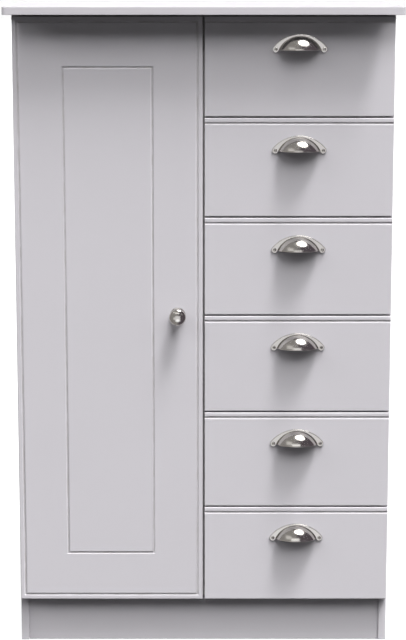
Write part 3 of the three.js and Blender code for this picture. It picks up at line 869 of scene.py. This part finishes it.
def lathe(bm, layers, place, profile, count=48):
    # turns (radius, depth, edge, recess) points about the depth axis; a zero radius closes an end
    loops = []
    for radius, depth, edge, recess in profile:
        if radius == 0:
            loops.append([addVert(bm, layers, place, (0, 0, depth), edge, recess)])
            continue
        loop = []
        for i in range(count):
            angle = 2 * math.pi * i / count
            point = (radius * math.cos(angle), radius * math.sin(angle), depth)
            loop.append(addVert(bm, layers, place, point, edge, recess))
        loops.append(loop)
    for first, second in zip(loops, loops[1:]):
        if len(first) == 1 or len(second) == 1:
            tip, loop = (first[0], second) if len(first) == 1 else (second[0], first)
            for i in range(count):
                bm.faces.new((tip, loop[i], loop[(i + 1) % count]))
        else:
            bridge(bm, first, second)


# Screw heads: the grid's lines and the cross recess as shares of the radius, depths as shares of the rise
screwHead = {
    "marks": (-1, -0.72, -0.5, -0.4, -0.15, 0.15, 0.4, 0.5, 0.72, 1),
    "crossHalfWidth": 0.2,
    "crossReach": 0.45,
    "crossDepth": 0.55,
    "rimHeight": 0.35,
    "domeEdge": 0.98,
    "wornFrom": 0.9,
    "wear": 0.6,
}


def crossScrew(bm, layers, place, radius, rise, head=screwHead):
    # low domed head that stands up from depth 0 towards -w
    marks, edgeHeight = head["marks"], head["rimHeight"]
    wide, reach = head["crossHalfWidth"], head["crossReach"]
    last = len(marks) - 1
    grid = []
    for b in marks:
        line = []
        for a in marks:
            # a square grid pulled to a disc
            u = radius * a * math.sqrt(1 - b * b / 2)
            v = radius * b * math.sqrt(1 - a * a / 2)
            share = min((u * u + v * v) / radius ** 2, 1)
            height = rise * (edgeHeight + (1 - edgeHeight) * math.sqrt(1 - head["domeEdge"] * share))
            # the cross recess is marked for painted shade
            cross = (abs(a) < wide and abs(b) < reach) or (abs(b) < wide and abs(a) < reach)
            depth = -height + (head["crossDepth"] * rise if cross else 0)
            worn = head["wear"] if share > head["wornFrom"] else 0
            line.append(addVert(bm, layers, place, (u, v, depth), worn, 1 if cross else 0))
        grid.append(line)
    for lower, upper in zip(grid, grid[1:]):
        for i in range(last):
            bm.faces.new((lower[i], lower[i + 1], upper[i + 1], upper[i]))
    rim = [grid[0][i] for i in range(last)] + [grid[j][last] for j in range(last)]
    rim += [grid[last][i] for i in range(last, 0, -1)] + [grid[j][0] for j in range(last, 0, -1)]
    back = place.inverted()
    foot = []
    for vert in rim:
        local = back @ vert.co
        foot.append(addVert(bm, layers, place, (local.x, local.y, 0)))
    bridge(bm, rim, foot)
    bm.faces.new(foot)


def newPiece(name, bm, lookNames, body, nodes=(), sharp=sharpAngle):
    bmesh.ops.remove_doubles(bm, verts=bm.verts, dist=0.000001)
    bmesh.ops.recalc_face_normals(bm, faces=bm.faces)
    for face in bm.faces:
        face.smooth = True
    mesh = bpy.data.meshes.new(name)
    bm.to_mesh(mesh)
    bm.free()
    mesh.set_sharp_from_angle(angle=math.radians(sharp))
    for look in lookNames:
        mesh.materials.append(looks[look])
    piece = bpy.data.objects.new(name, mesh)
    scene.collection.objects.link(piece)
    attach(piece, body)
    if nodes:
        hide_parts(*nodes)
    return piece


def bareFaces(bm, index, test):
    # faces whose outward direction passes the test get another material
    bmesh.ops.recalc_face_normals(bm, faces=bm.faces)
    for face in bm.faces:
        if test(face.normal, face.calc_center_median()):
            face.material_index = index


def boxOf(node):
    low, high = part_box(node)
    return low, high, (low + high) / 2, high - low


# Case: boards, plinth and back
caseSetup = {
    "topCorner": 0.009,       # in plan
    "topEase": 0.0008,
    "boardEase": 0.0008,
    "backEase": 0.0004,
    "grooveDepth": 0.006,     # in the side boards, for the back panel
    "grooveClearance": 0.0003,
    "pinRadius": 0.0024,
    "pinRise": 0.0007,
    "pinPitch": 0.115,
    "pinStrayAcross": 0.0013,
    "pinStrayUp": 0.0011,
    "pinFacets": 12,
}


def rawRear(normal, middle):
    return normal.y > 0.9


def rawRearOrFoot(normal, middle):
    return normal.y > 0.9 or normal.z < -0.9


def buildBoard(name, node, look, ease, corner=None, bare=rawRear, bareLook="chipboardEdge"):
    low, high, middle, size = boxOf(node)
    thin = min(range(3), key=lambda axis: size[axis])
    place = (facingSide, facingFront, facingUp)[thin](*[
        low[axis] if axis == thin else middle[axis] for axis in range(3)
    ])
    across, along = [size[axis] for axis in range(3) if axis != thin]
    bm, layers = newMesh()
    easedBoard(bm, layers, place, across, along, size[thin], ease, corner)
    bareFaces(bm, 1, bare)
    newPiece(name, bm, (look, bareLook), "carcass", (node,))


def buildSideBoard(name, node, side, setup):
    low, high, middle, size = boxOf(node)
    backLow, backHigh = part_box("back_panel")
    start, end = backLow.y - setup["grooveClearance"], backHigh.y + setup["grooveClearance"]
    deep = setup["grooveDepth"]
    # the groove's floor is marked for painted shade
    groove = [(start, 0, 0.5, 0), (start, deep, 0, 1), (end, deep, 0, 1), (end, 0, 0.5, 0)]
    columns = sorted(easedSpan(low.y, high.y, setup["boardEase"]) + groove, key=lambda line: line[0])
    rows = easedSpan(low.z, high.z, setup["boardEase"])
    place = facingSide(low.x if side > 0 else high.x, 0, 0, side)
    bm, layers = newMesh()
    gridBoard(bm, layers, place, columns, rows, size.x, setup["boardEase"])
    bareFaces(bm, 1, rawRearOrFoot)
    newPiece(name, bm, ("caseFoil", "chipboardEdge"), "carcass", (node,))


def buildBackPins(setup):
    # pins down the partition and along the base and the hat shelf, each a hair out of line
    low, high, middle, size = boxOf("back_panel")
    foot = boxOf("base_panel")[2].z
    shelf = boxOf("hat_shelf")[2].z
    spots = []
    count = int((high.z - foot) / setup["pinPitch"])
    for i in range(1, count):
        spots.append((setup["pinStrayAcross"] * math.sin(7 * i), foot + i * (high.z - foot) / count))
    for z, left, right in ((foot, low.x, high.x), (shelf, low.x, 0)):
        count = int((right - left) / setup["pinPitch"])
        for i in range(1, count):
            spots.append((left + i * (right - left) / count, z + setup["pinStrayUp"] * math.sin(5 * i)))
    bm, layers = newMesh()
    radius, rise = setup["pinRadius"], setup["pinRise"]
    profile = [
        (0, -rise, 0, 0), (0.6 * radius, -0.9 * rise, 0, 0), (0.92 * radius, -0.55 * rise, 1, 0),
        (radius, 0, 0.5, 0), (0, 0, 0, 0),
    ]
    for x, z in spots:
        lathe(bm, layers, facingBack(x, high.y, z), profile, setup["pinFacets"])
    newPiece("backPins", bm, ("screwSteel",), "carcass")


def buildCase(setup):
    ease = setup["boardEase"]
    buildBoard("topBoard", "top_panel", "caseFoil", setup["topEase"], setup["topCorner"])
    buildSideBoard("sideBoardLeft", "side_panel_left", -1, setup)
    buildSideBoard("sideBoardRight", "side_panel_right", 1, setup)
    buildBoard("plinthRail", "plinth_front", "caseFoil", ease, bare=rawRearOrFoot)
    buildBoard("plinthRailRear", "plinth_rear", "insideFoil", ease, bare=rawRearOrFoot)
    for name, node in (
        ("partition", "centre_partition"), ("baseBoard", "base_panel"), ("hatShelf", "hat_shelf"),
    ):
        buildBoard(name, node, "insideFoil", ease)
    ease = setup["backEase"]
    buildBoard("backBoard", "back_panel", "hardboard", ease, bareLook="rawHardboard")
    buildBackPins(setup)


buildCase(caseSetup)
print("case built")


# Fronts: door and drawer fronts with rounded arrises and routed grooves
frontSetup = {
    "ease": 0.0012,
    "backEase": 0.0005,
    "corner": 0.001,
    "grooveWidth": 0.0047,
    "grooveDepth": 0.0015,
    "grooveFloor": 0.003,
    "grooveSoftness": 0.0003,
    "edgeInset": 0.0101,       # from the board's edge to the middle of the groove
    "fieldInset": 0.0965,
    "hingeInset": 0.0225,      # hinge cups, from the door's left edge
    "boreRadius": 0.0178,
    "boreDepth": 0.0123,
}


def cutAway(piece, cutter):
    joint = piece.modifiers.new("cut", "BOOLEAN")
    joint.operation = "DIFFERENCE"
    joint.solver = "EXACT"
    joint.object = cutter
    cutMesh = bpy.data.meshes.new_from_object(piece.evaluated_get(bpy.context.evaluated_depsgraph_get()))
    piece.modifiers.remove(joint)
    cutMesh.set_sharp_from_angle(angle=math.radians(sharpAngle))
    piece.data = cutMesh
    bpy.data.objects.remove(cutter)


def buildDoor(setup):
    low, high, middle, size = boxOf("door_panel")
    rings = routedGroove(setup["fieldInset"], setup) + routedGroove(setup["edgeInset"], setup)
    rings += easedEnds(setup["ease"], size.y, farEase=setup["backEase"])
    bm, layers = newMesh()
    ringSolid(bm, layers, facingFront(middle.x, low.y, middle.z), size.x, size.z, setup["corner"], rings)
    door = newPiece("doorFront", bm, ("frontFoil", "chipboardEdge"), "door", ("door_panel",))
    radius, deep = setup["boreRadius"], setup["boreDepth"]
    profile = [(0, -deep, 0, 0), (radius, -deep, 0, 0), (radius, deep, 0, 0), (0, deep, 0, 0)]
    bm, layers = newMesh()
    for word in hingeWords:
        level = boxOf("hinge_cup_" + word)[2].z
        lathe(bm, layers, facingFront(low.x + setup["hingeInset"], high.y, level), profile)
    bmesh.ops.recalc_face_normals(bm, faces=bm.faces)
    mesh = bpy.data.meshes.new("boreCutter")
    bm.to_mesh(mesh)
    bm.free()
    cutter = bpy.data.objects.new("boreCutter", mesh)
    scene.collection.objects.link(cutter)
    cutAway(door, cutter)


def buildDrawerFront(number, setup):
    low, high, middle, size = boxOf(f"drawer_front_{number}")
    bm, layers = newMesh()
    columns = easedSpan(-size.x / 2, size.x / 2, setup["ease"])
    rows = easedSpan(-size.z / 2, size.z / 2, setup["ease"])
    arris = len(rows) // 2
    groove = routedGroove(size.z / 2 - setup["edgeInset"], setup)[::-1]
    place = facingFront(middle.x, low.y, middle.z)
    gridBoard(bm, layers, place, columns, rows[:arris] + groove + rows[arris:], size.y, setup["backEase"])
    body, node = f"drawer_{number}", f"drawer_front_{number}"
    newPiece(f"drawerFace{number}", bm, ("frontFoil",), body, (node,))


buildDoor(frontSetup)
for number in range(1, drawerCount + 1):
    buildDrawerFront(number, frontSetup)
print("fronts built")


# Knob: flatter in front than behind, on a neck and a round rose
knobSetup = {
    "radius": 0.0165,
    "projection": 0.030,
    "frontDepth": 0.008,
    "backDepth": 0.016,
    "neckRadius": 0.0065,
    "roseRadius": 0.0155,
    "roseThickness": 0.003,
    "roseRise": 0.003,
    "roseEase": 0.0008,
    "ballSteps": 22,
    "flareSteps": 8,
    "facets": 64,
}


def buildKnob(setup):
    low, high, middle, size = boxOf("door_knob")
    radius, neck, rose = setup["radius"], setup["neckRadius"], setup["roseRadius"]
    widest = setup["projection"] - setup["frontDepth"]
    lastAngle = math.pi - math.asin(neck / radius)
    profile = []
    for step in range(setup["ballSteps"] + 1):
        angle = lastAngle * step / setup["ballSteps"]
        bulge = setup["frontDepth"] if angle < math.pi / 2 else setup["backDepth"]
        profile.append((radius * math.sin(angle), -widest - bulge * math.cos(angle), 0, 0))
    thick, ease, rise = setup["roseThickness"], setup["roseEase"], setup["roseRise"]
    # the recess values on the neck's flare and the rose paint shade where the knob meets the door
    for step in range(1, setup["flareSteps"] + 1):
        share = step / setup["flareSteps"]
        flare = neck + (rose - ease - neck) * share ** 2
        profile.append((flare, -thick - rise * (1 - share), 0.2 * (share == 1), max(0, 0.6 - share)))
    profile += [
        (rose - 0.3 * ease, 0.3 * ease - thick, 1, 0), (rose, ease - thick, 0.2, 0), (rose, 0, 0, 0.5),
        (0, 0, 0, 0),
    ]
    bm, layers = newMesh()
    lathe(bm, layers, facingFront(middle.x, high.y, middle.z), profile, setup["facets"])
    newPiece("doorKnob", bm, ("satinNickel",), "door", ("door_knob",))


buildKnob(knobSetup)


# Cup handle: half-moon shell open underneath, on a crescent plate with a screw in either ear
cupSetup = {
    "domeRadius": 0.045,
    "bulge": 0.03164,
    "wall": 0.002,
    "centreDrop": 0.018,       # dome's middle below its open underside
    "rimRadius": 0.0659,
    "rimDrop": 0.0359,
    "rimTop": 0.030,
    "rimThickness": 0.003,
    "rimInnerRadius": 0.0441,
    "rimEase": 0.0011,
    "rimBand": 0.0005,
    "earRadius": 0.0064,
    "earX": 0.046,
    "earZ": 0.00184,
    "earAngles": (-137.63, 39.37),
    "innerAngle": 20.62,
    "screwRadius": 0.0034,
    "screwRise": 0.0016,
    "shadeBandReach": 0.017,      # how far from the plate the dome gets a painted dark band, for shade and dark reflection
    "sharpAngle": 40,
    "earSteps": 16,
    "rimSteps": 40,
    "aroundSteps": 56,
    "levelSteps": 26,
    "lipSteps": 6,
}


def arcPoints(centre, radius, start, end, steps):
    points = []
    for step in range(steps + 1):
        angle = math.radians(start + (end - start) * step / steps)
        points.append((centre[0] + radius * math.cos(angle), centre[1] + radius * math.sin(angle)))
    return points


def crescentOutline(setup):
    startAngle, endAngle = setup["earAngles"]
    x, z = setup["earX"], setup["earZ"]
    inner = setup["innerAngle"]
    ear, rim = setup["earSteps"], setup["rimSteps"]
    outline = arcPoints((x, z), setup["earRadius"], startAngle, endAngle, ear)
    outline += arcPoints((0, -setup["rimDrop"]), setup["rimRadius"], endAngle, 180 - endAngle, rim)[1:]
    outline += arcPoints((-x, z), setup["earRadius"], 180 - endAngle, 180 - startAngle, ear)[1:]
    outline += arcPoints((0, -setup["centreDrop"]), setup["rimInnerRadius"], 180 - inner, inner, rim)[1:-1]
    return outline


def domeSection(setup, around):
    # outer skin from its top down to the lip, round the lip, and up the inner skin
    radius, bulge, wall, drop = (setup[key] for key in ("domeRadius", "bulge", "wall", "centreDrop"))
    lip = wall / 2
    level = drop + lip
    section = []

    def skin(radius, bulge, height):
        reach = math.sqrt(max(1 - (height / radius) ** 2, 0))
        return Vector((radius * reach * math.cos(around), bulge * reach * math.sin(around), height))

    for step in range(setup["levelSteps"] + 1):
        rise = math.pi / 2 + (math.asin(level / radius) - math.pi / 2) * step / setup["levelSteps"]
        section.append((skin(radius, bulge, radius * math.sin(rise)), 0))
    outer, inner = section[-1][0], skin(radius - wall, bulge - wall, level)
    for step in range(1, setup["lipSteps"]):
        turn = math.pi * step / setup["lipSteps"]
        across = (outer + inner) / 2 + (outer - inner) / 2 * math.cos(turn)
        section.append((across - Vector((0, 0, lip * math.sin(turn))), math.sin(turn)))
    for step in range(setup["levelSteps"] + 1):
        rise = math.asin(level / (radius - wall))
        rise += (math.pi / 2 - rise) * step / setup["levelSteps"]
        section.append((skin(radius - wall, bulge - wall, (radius - wall) * math.sin(rise)), 0))
    return section


def buildCupHandle(number, setup):
    low, high, middle, size = boxOf(f"cup_handle_{number}")
    place = facingFront(middle.x, high.y, high.z - setup["rimTop"])
    bm, layers = newMesh()
    lines = []
    for step in range(setup["aroundSteps"] + 1):
        section = domeSection(setup, math.pi * step / setup["aroundSteps"])
        line = []
        for point, edge in section:
            # painted shade and dark reflection on the dome, fading out away from the plate
            crease = max(0, 1 - point.y / setup["shadeBandReach"])
            corner = (point.x, point.z - setup["centreDrop"], -point.y)
            line.append(addVert(bm, layers, place, corner, edge, crease))
        lines.append(line)
    for first, second in zip(lines, lines[1:]):
        for i in range(len(first) - 1):
            bm.faces.new((first[i], first[i + 1], second[i + 1], second[i]))
    for line in (lines[0], lines[-1]):
        bm.faces.new(line)
    thick = setup["rimThickness"]
    rings = easedEdge(setup["rimEase"], -thick, 1, setup["rimBand"]) + [(0, 0, 0, 0.5)]
    polygonSolid(bm, layers, place, crescentOutline(setup), rings)
    for side in (-1, 1):
        screw = place @ Matrix.Translation((side * setup["earX"], setup["earZ"], -thick))
        crossScrew(bm, layers, screw, setup["screwRadius"], setup["screwRise"])
    body, node = f"drawer_{number}", f"cup_handle_{number}"
    newPiece(f"cupPull{number}", bm, ("satinNickel",), body, (node,), setup["sharpAngle"])


for number in range(1, drawerCount + 1):
    buildCupHandle(number, cupSetup)
print("knob and cup handles built")


# Drawer boxes: two grooved sides and a back round a thin base
boxSetup = {
    "wall": 0.012,
    "ease": 0.0014,
    "endEase": 0.0006,
    "runnerRise": 0.060,
    "runnerHeight": 0.016,
    "runnerGroove": 0.005,
    "baseRise": 0.010,
    "baseThickness": 0.003,
    "baseGroove": 0.004,
    "clearance": 0.0003,
    "fold": 0.0004,            # line where the side meets the back
    "endBand": 0.0003,
    "baseEase": 0.0004,
    "baseCorner": 0.001,
}


def easedOutline(points, ease, steps=3):
    # rounds the corners that are marked True; the rest stay sharp
    outline = []
    for i, (u, v, rounded) in enumerate(points):
        if not rounded:
            outline.append((u, v))
            continue
        before, after = points[i - 1], points[(i + 1) % len(points)]
        corner = Vector((u, v))
        start = corner + (Vector(before[:2]) - corner).normalized() * ease
        end = corner + (Vector(after[:2]) - corner).normalized() * ease
        for step in range(steps + 1):
            share = step / steps
            bend = (1 - share) ** 2 * start + 2 * share * (1 - share) * corner + share ** 2 * end
            outline.append((bend.x, bend.y))
    return outline


def boxWallOutline(height, setup, grooved):
    wall, gap = setup["wall"], setup["clearance"]
    low, high = setup["baseRise"] - gap, setup["baseRise"] + setup["baseThickness"] + gap
    deep = wall - setup["baseGroove"]
    points = [
        (0, 0, True), (wall, 0, True), (wall, low, False), (deep, low, False), (deep, high, False),
        (wall, high, False), (wall, height, True), (0, height, True),
    ]
    if grooved:
        start, end = setup["runnerRise"] - gap, setup["runnerRise"] + setup["runnerHeight"] + gap
        groove = setup["runnerGroove"]
        points += [(0, end, False), (groove, end, False), (groove, start, False), (0, start, False)]
    return easedOutline(points, setup["ease"])


def buildDrawerBox(number, setup):
    low, high, middle, size = boxOf(f"drawer_box_{number}")
    body, band = f"drawer_{number}", setup["endBand"]
    bm, layers = newMesh()
    outline = boxWallOutline(size.z, setup, True)
    # sides: u runs in from the outer face, v up and the depth back
    for side, outerX in ((-1, low.x), (1, high.x)):
        place = Matrix(((-side, 0, 0, outerX), (0, 0, 1, low.y), (0, 1, 0, low.z), (0, 0, 0, 1)))
        polygonSolid(bm, layers, place, outline, easedEnds(setup["endEase"], size.y, band))
    # back: u runs forwards, v up and the depth across, between the sides
    inner = size.x - 2 * setup["wall"] - 2 * setup["fold"]
    place = Matrix(((0, 0, 1, middle.x - inner / 2), (-1, 0, 0, high.y), (0, 1, 0, low.z), (0, 0, 0, 1)))
    outline = boxWallOutline(size.z, setup, False)
    polygonSolid(bm, layers, place, outline, easedEnds(setup["fold"], inner, band))
    newPiece(f"drawerWalls{number}", bm, ("insideFoil",), body, (f"drawer_box_{number}",))
    node = f"drawer_base_{number}"
    low, high, middle, size = boxOf(node)
    place = facingUp(middle.x, middle.y, low.z)
    bm, layers = newMesh()
    easedBoard(bm, layers, place, size.x, size.y, size.z, setup["baseEase"], setup["baseCorner"])
    bareFaces(bm, 1, lambda normal, centre: normal.z < -0.9)
    newPiece(f"drawerFloor{number}", bm, ("hardboard", "rawHardboard"), body, (node,))


for number in range(1, drawerCount + 1):
    buildDrawerBox(number, boxSetup)
print("drawer boxes built")


# Runner strips, screwed to the walls of the drawer bay
runnerSetup = {
    "ease": 0.0009,
    "band": 0.0005,
    "rearCorner": 0.0018,
    "cornerSteps": 4,
    "noseSteps": 14,
    "screwRadius": 0.0034,
    "screwRise": 0.0002,
    "screwPlaces": (0.045, 0.22, 0.39),
}


def buildRunner(word, number, setup):
    node = f"runner_{word}_{number}"
    low, high, middle, size = boxOf(node)
    half, corner, steps = size.z / 2, setup["rearCorner"], setup["cornerSteps"]
    # a half-round nose in front and eased corners behind
    outline = arcPoints((low.y + half, 0), half, 90, 270, setup["noseSteps"])
    outline += arcPoints((high.y - corner, corner - half), corner, 270, 360, steps)
    outline += arcPoints((high.y - corner, half - corner), corner, 0, 90, steps)
    rings = easedEnds(setup["ease"], size.x, setup["band"])
    bm, layers = newMesh()
    polygonSolid(bm, layers, facingSide(low.x, 0, middle.z), outline, rings)
    newPiece(f"runner{word.title()}{number}", bm, ("runnerPlastic",), "carcass", (node,))
    faceX, side = (high.x, -1) if word == "left" else (low.x, 1)
    bm, layers = newMesh()
    for along in setup["screwPlaces"]:
        place = facingSide(faceX, low.y + along, middle.z, side)
        crossScrew(bm, layers, place, setup["screwRadius"], setup["screwRise"])
    newPiece(f"runnerScrews{word.title()}{number}", bm, ("screwSteel",), "carcass")


for number in range(1, drawerCount + 1):
    for word in ("left", "right"):
        buildRunner(word, number, runnerSetup)
print("runners built")


# Hanging rail between two sockets
railSetup = {
    "wall": 0.0015,
    "ease": 0.0004,
    "facets": 56,
    "clearance": 0.0003,
    "collarWall": 0.0025,
    "collarLength": 0.014,
    "flangeThickness": 0.0025,
    "flangeEase": 0.0012,
    "collarLip": 0.0005,
    "creaseWidth": 0.001,      # where the collar meets the flange
    "screwCircle": 0.0165,
    "screwTurns": (90, 210, 330),
    "screwRadius": 0.0022,
    "screwRise": 0.0009,
}


def tubeProfile(outer, inner, length, ease):
    # out along the skin and back through the bore, with rounded ends
    profile = [
        (inner, 2 * ease, 0, 0), (inner, ease, 0.2, 0), (inner + 0.3 * ease, 0.3 * ease, 1, 0),
        (inner + ease, 0, 0.2, 0), (outer - ease, 0, 0.2, 0), (outer - 0.3 * ease, 0.3 * ease, 1, 0),
        (outer, ease, 0.2, 0), (outer, 2 * ease, 0, 0),
        (outer, length - 2 * ease, 0, 0), (outer, length - ease, 0.2, 0),
        (outer - 0.3 * ease, length - 0.3 * ease, 1, 0), (outer - ease, length, 0.2, 0),
        (inner + ease, length, 0.2, 0), (inner, length - ease, 0.2, 0), (inner, length - 2 * ease, 0, 0),
    ]
    return profile + profile[:1]


def buildRail(setup):
    low, high, middle, size = boxOf("hanging_rail")
    radius = size.z / 2
    profile = tubeProfile(radius, radius - setup["wall"], size.x, setup["ease"])
    bm, layers = newMesh()
    lathe(bm, layers, facingSide(low.x, middle.y, middle.z), profile, setup["facets"])
    newPiece("railTube", bm, ("railChrome",), "carcass", ("hanging_rail",))
    return radius


def buildRailSocket(word, side, railRadius, setup):
    low, high, middle, size = boxOf("rail_socket_" + word)
    wallX = low.x if side > 0 else high.x
    flange = size.z / 2
    inner = railRadius + setup["clearance"]
    outer = inner + setup["collarWall"]
    ease, thick, long = setup["flangeEase"], setup["flangeThickness"], setup["collarLength"]
    lip, crease = setup["collarLip"], setup["creaseWidth"]
    # recess values paint shade in the crease at the collar's foot and on the bore's floor
    profile = [
        (0, 0, 0, 0), (flange, 0, 0, 0), (flange, thick - ease, 0.2, 0),
        (flange - 0.3 * ease, thick - 0.3 * ease, 1, 0), (flange - ease, thick, 0.2, 0),
        (flange - ease - 0.6 * crease, thick, 0, 0), (outer + 0.9 * crease, thick, 0, 1),
        (outer + 0.2 * crease, thick + 0.3 * crease, 0, 1), (outer, thick + crease, 0, 0),
        (outer, long - 1.8 * lip, 0, 0), (outer, long - lip, 0.2, 0),
        (outer - 0.4 * lip, long - 0.4 * lip, 1, 0), (outer - lip, long, 0.2, 0),
        (inner + lip, long, 0.2, 0), (inner, long - lip, 0.2, 0), (inner, thick, 0, 1), (0, thick, 0, 1),
    ]
    bm, layers = newMesh()
    lathe(bm, layers, facingSide(wallX, middle.y, middle.z, side), profile, setup["facets"])
    node = "rail_socket_" + word
    newPiece("railCup" + word.title(), bm, ("railChrome",), "carcass", (node,))
    circle = setup["screwCircle"]
    bm, layers = newMesh()
    for turn in setup["screwTurns"]:
        angle = math.radians(turn)
        y, z = middle.y + circle * math.cos(angle), middle.z + circle * math.sin(angle)
        place = facingSide(wallX + side * thick, y, z, -side)
        crossScrew(bm, layers, place, setup["screwRadius"], setup["screwRise"])
    newPiece("railCupScrews" + word.title(), bm, ("screwSteel",), "carcass")


railRadius = buildRail(railSetup)
for word, side in (("left", 1), ("right", -1)):
    buildRailSocket(word, side, railRadius, railSetup)
print("rail built")


# Concealed hinges: arm on its plate in the case, cup let into the door
hingeSetup = {
    "plateLength": 0.032,
    "plateHeight": 0.048,
    "plateThickness": 0.004,
    "plateCorner": 0.004,
    "armHeight": 0.014,
    "armWidth": 0.010,
    "tipMiddle": 0.009,        # from the wall of the case
    "tipWidth": 0.007,
    "ease": 0.0007,
    "armBand": 0.0002,
    # share of the plate's length, height off its middle, distance from the wall of the case
    "armScrews": ((0.5, 0.0165, 0.004), (0.5, -0.0165, 0.004), (0.25, 0, 0.014), (0.72, 0, 0.014)),
    "cupRadius": 0.0175,
    "cupWall": 0.0015,
    "cupDepth": 0.012,
    "cupFloorRound": 0.002,
    "rimRise": 0.0005,
    "wingWidth": 0.014,
    "wingStart": 0.0159,
    "wingEnd": 0.029,
    "wingThickness": 0.0012,
    "wingCorner": 0.005,
    "cheekHalfWidth": 0.0078,
    "cheekStart": 0.0073,
    "cheekEnd": 0.0142,
    "cheekCorner": 0.002,
    "wingScrewOffset": 0.0235,
    "screwRadius": 0.0036,
    "screwRise": 0.0007,
    "facets": 48,
}


def buildHingeArm(word, setup):
    low, high, middle, size = boxOf("hinge_arm_" + word)
    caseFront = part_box("side_panel_left")[0].y
    long, thick, ease = setup["plateLength"], setup["plateThickness"], setup["ease"]
    plateFront = high.y - long
    bm, layers = newMesh()
    place = facingSide(low.x, high.y - long / 2, middle.z)
    easedBoard(bm, layers, place, long, setup["plateHeight"], thick, ease, setup["plateCorner"])
    tip, tipHalf = low.x + setup["tipMiddle"], setup["tipWidth"] / 2
    armLow, armHigh = low.x + thick, low.x + thick + setup["armWidth"]
    outline = easedOutline([
        (armLow, high.y, True), (armLow, plateFront, False),
        (tip - tipHalf, caseFront, True), (tip - tipHalf, low.y, True),
        (tip + tipHalf, low.y, True), (tip + tipHalf, caseFront, True),
        (armHigh, plateFront, True), (armHigh, high.y, True),
    ], 2 * ease)
    place = facingUp(0, 0, middle.z - setup["armHeight"] / 2)
    polygonSolid(bm, layers, place, outline, easedEnds(ease, setup["armHeight"], setup["armBand"]))
    node = "hinge_arm_" + word
    newPiece("hingeLever" + word.title(), bm, ("hingeSteel",), "carcass", (node,))
    bm, layers = newMesh()
    for share, rise, x in setup["armScrews"]:
        place = facingSide(low.x + x, plateFront + share * long, middle.z + rise, -1)
        crossScrew(bm, layers, place, setup["screwRadius"], setup["screwRise"])
    newPiece("hingeScrews" + word.title(), bm, ("screwSteel",), "carcass")


def cupProfile(setup):
    radius, deep, rise = setup["cupRadius"], setup["cupDepth"], setup["rimRise"]
    inner, floor, bend = radius - setup["cupWall"], setup["cupWall"] - deep, setup["cupFloorRound"]
    # recess values paint shade on the cup's floor and its rounded corner
    return [
        (0, -deep, 0, 0), (radius - rise, -deep, 0, 0), (radius, rise - deep, 0, 0), (radius, 0, 0.2, 0),
        (radius - 0.3 * rise, 0.7 * rise, 1, 0), (radius - rise, rise, 0.2, 0),
        (inner + rise, rise, 0.2, 0), (inner, 0, 0.5, 0), (inner, floor + bend, 0, 0.6),
        (inner - 0.3 * bend, floor + 0.3 * bend, 0, 1), (inner - bend, floor, 0, 1), (0, floor, 0, 0.6),
    ]


def buildHingeCup(word, setup):
    low, high, middle, size = boxOf("hinge_cup_" + word)
    wingThick, floor = setup["wingThickness"], setup["cupWall"] - setup["cupDepth"]
    doorBack = high.y - wingThick
    wing = setup["wingEnd"] - setup["wingStart"]
    cheek = setup["cheekEnd"] - setup["cheekStart"]
    bm, layers = newMesh()
    lathe(bm, layers, facingFront(middle.x, doorBack, middle.z), cupProfile(setup), setup["facets"])
    for side in (-1, 1):
        place = facingFront(middle.x, doorBack, middle.z + side * (setup["wingStart"] + wing / 2))
        wide, corner = setup["wingWidth"], setup["wingCorner"]
        easedBoard(bm, layers, place, wide, wing, wingThick, wingThick / 4, corner)
        place = facingFront(middle.x, doorBack + floor, middle.z + side * (setup["cheekStart"] + cheek / 2))
        wide, corner = 2 * setup["cheekHalfWidth"], setup["cheekCorner"]
        easedBoard(bm, layers, place, wide, cheek, -floor, setup["ease"], corner)
    newPiece("hingeBowl" + word.title(), bm, ("hingeSteel",), "door", ("hinge_cup_" + word,))
    bm, layers = newMesh()
    for side in (-1, 1):
        place = facingBack(middle.x, high.y, middle.z + side * setup["wingScrewOffset"])
        crossScrew(bm, layers, place, setup["screwRadius"], setup["screwRise"])
    newPiece("hingeBowlScrews" + word.title(), bm, ("screwSteel",), "door")


for word in hingeWords:
    buildHingeArm(word, hingeSetup)
    buildHingeCup(word, hingeSetup)
print("hinges built")

# Lights that reach some pieces only
lightOnly("edgeLight", studio["edgePieces"])
lightOnly("grazeLight", studio["grazedPieces"])
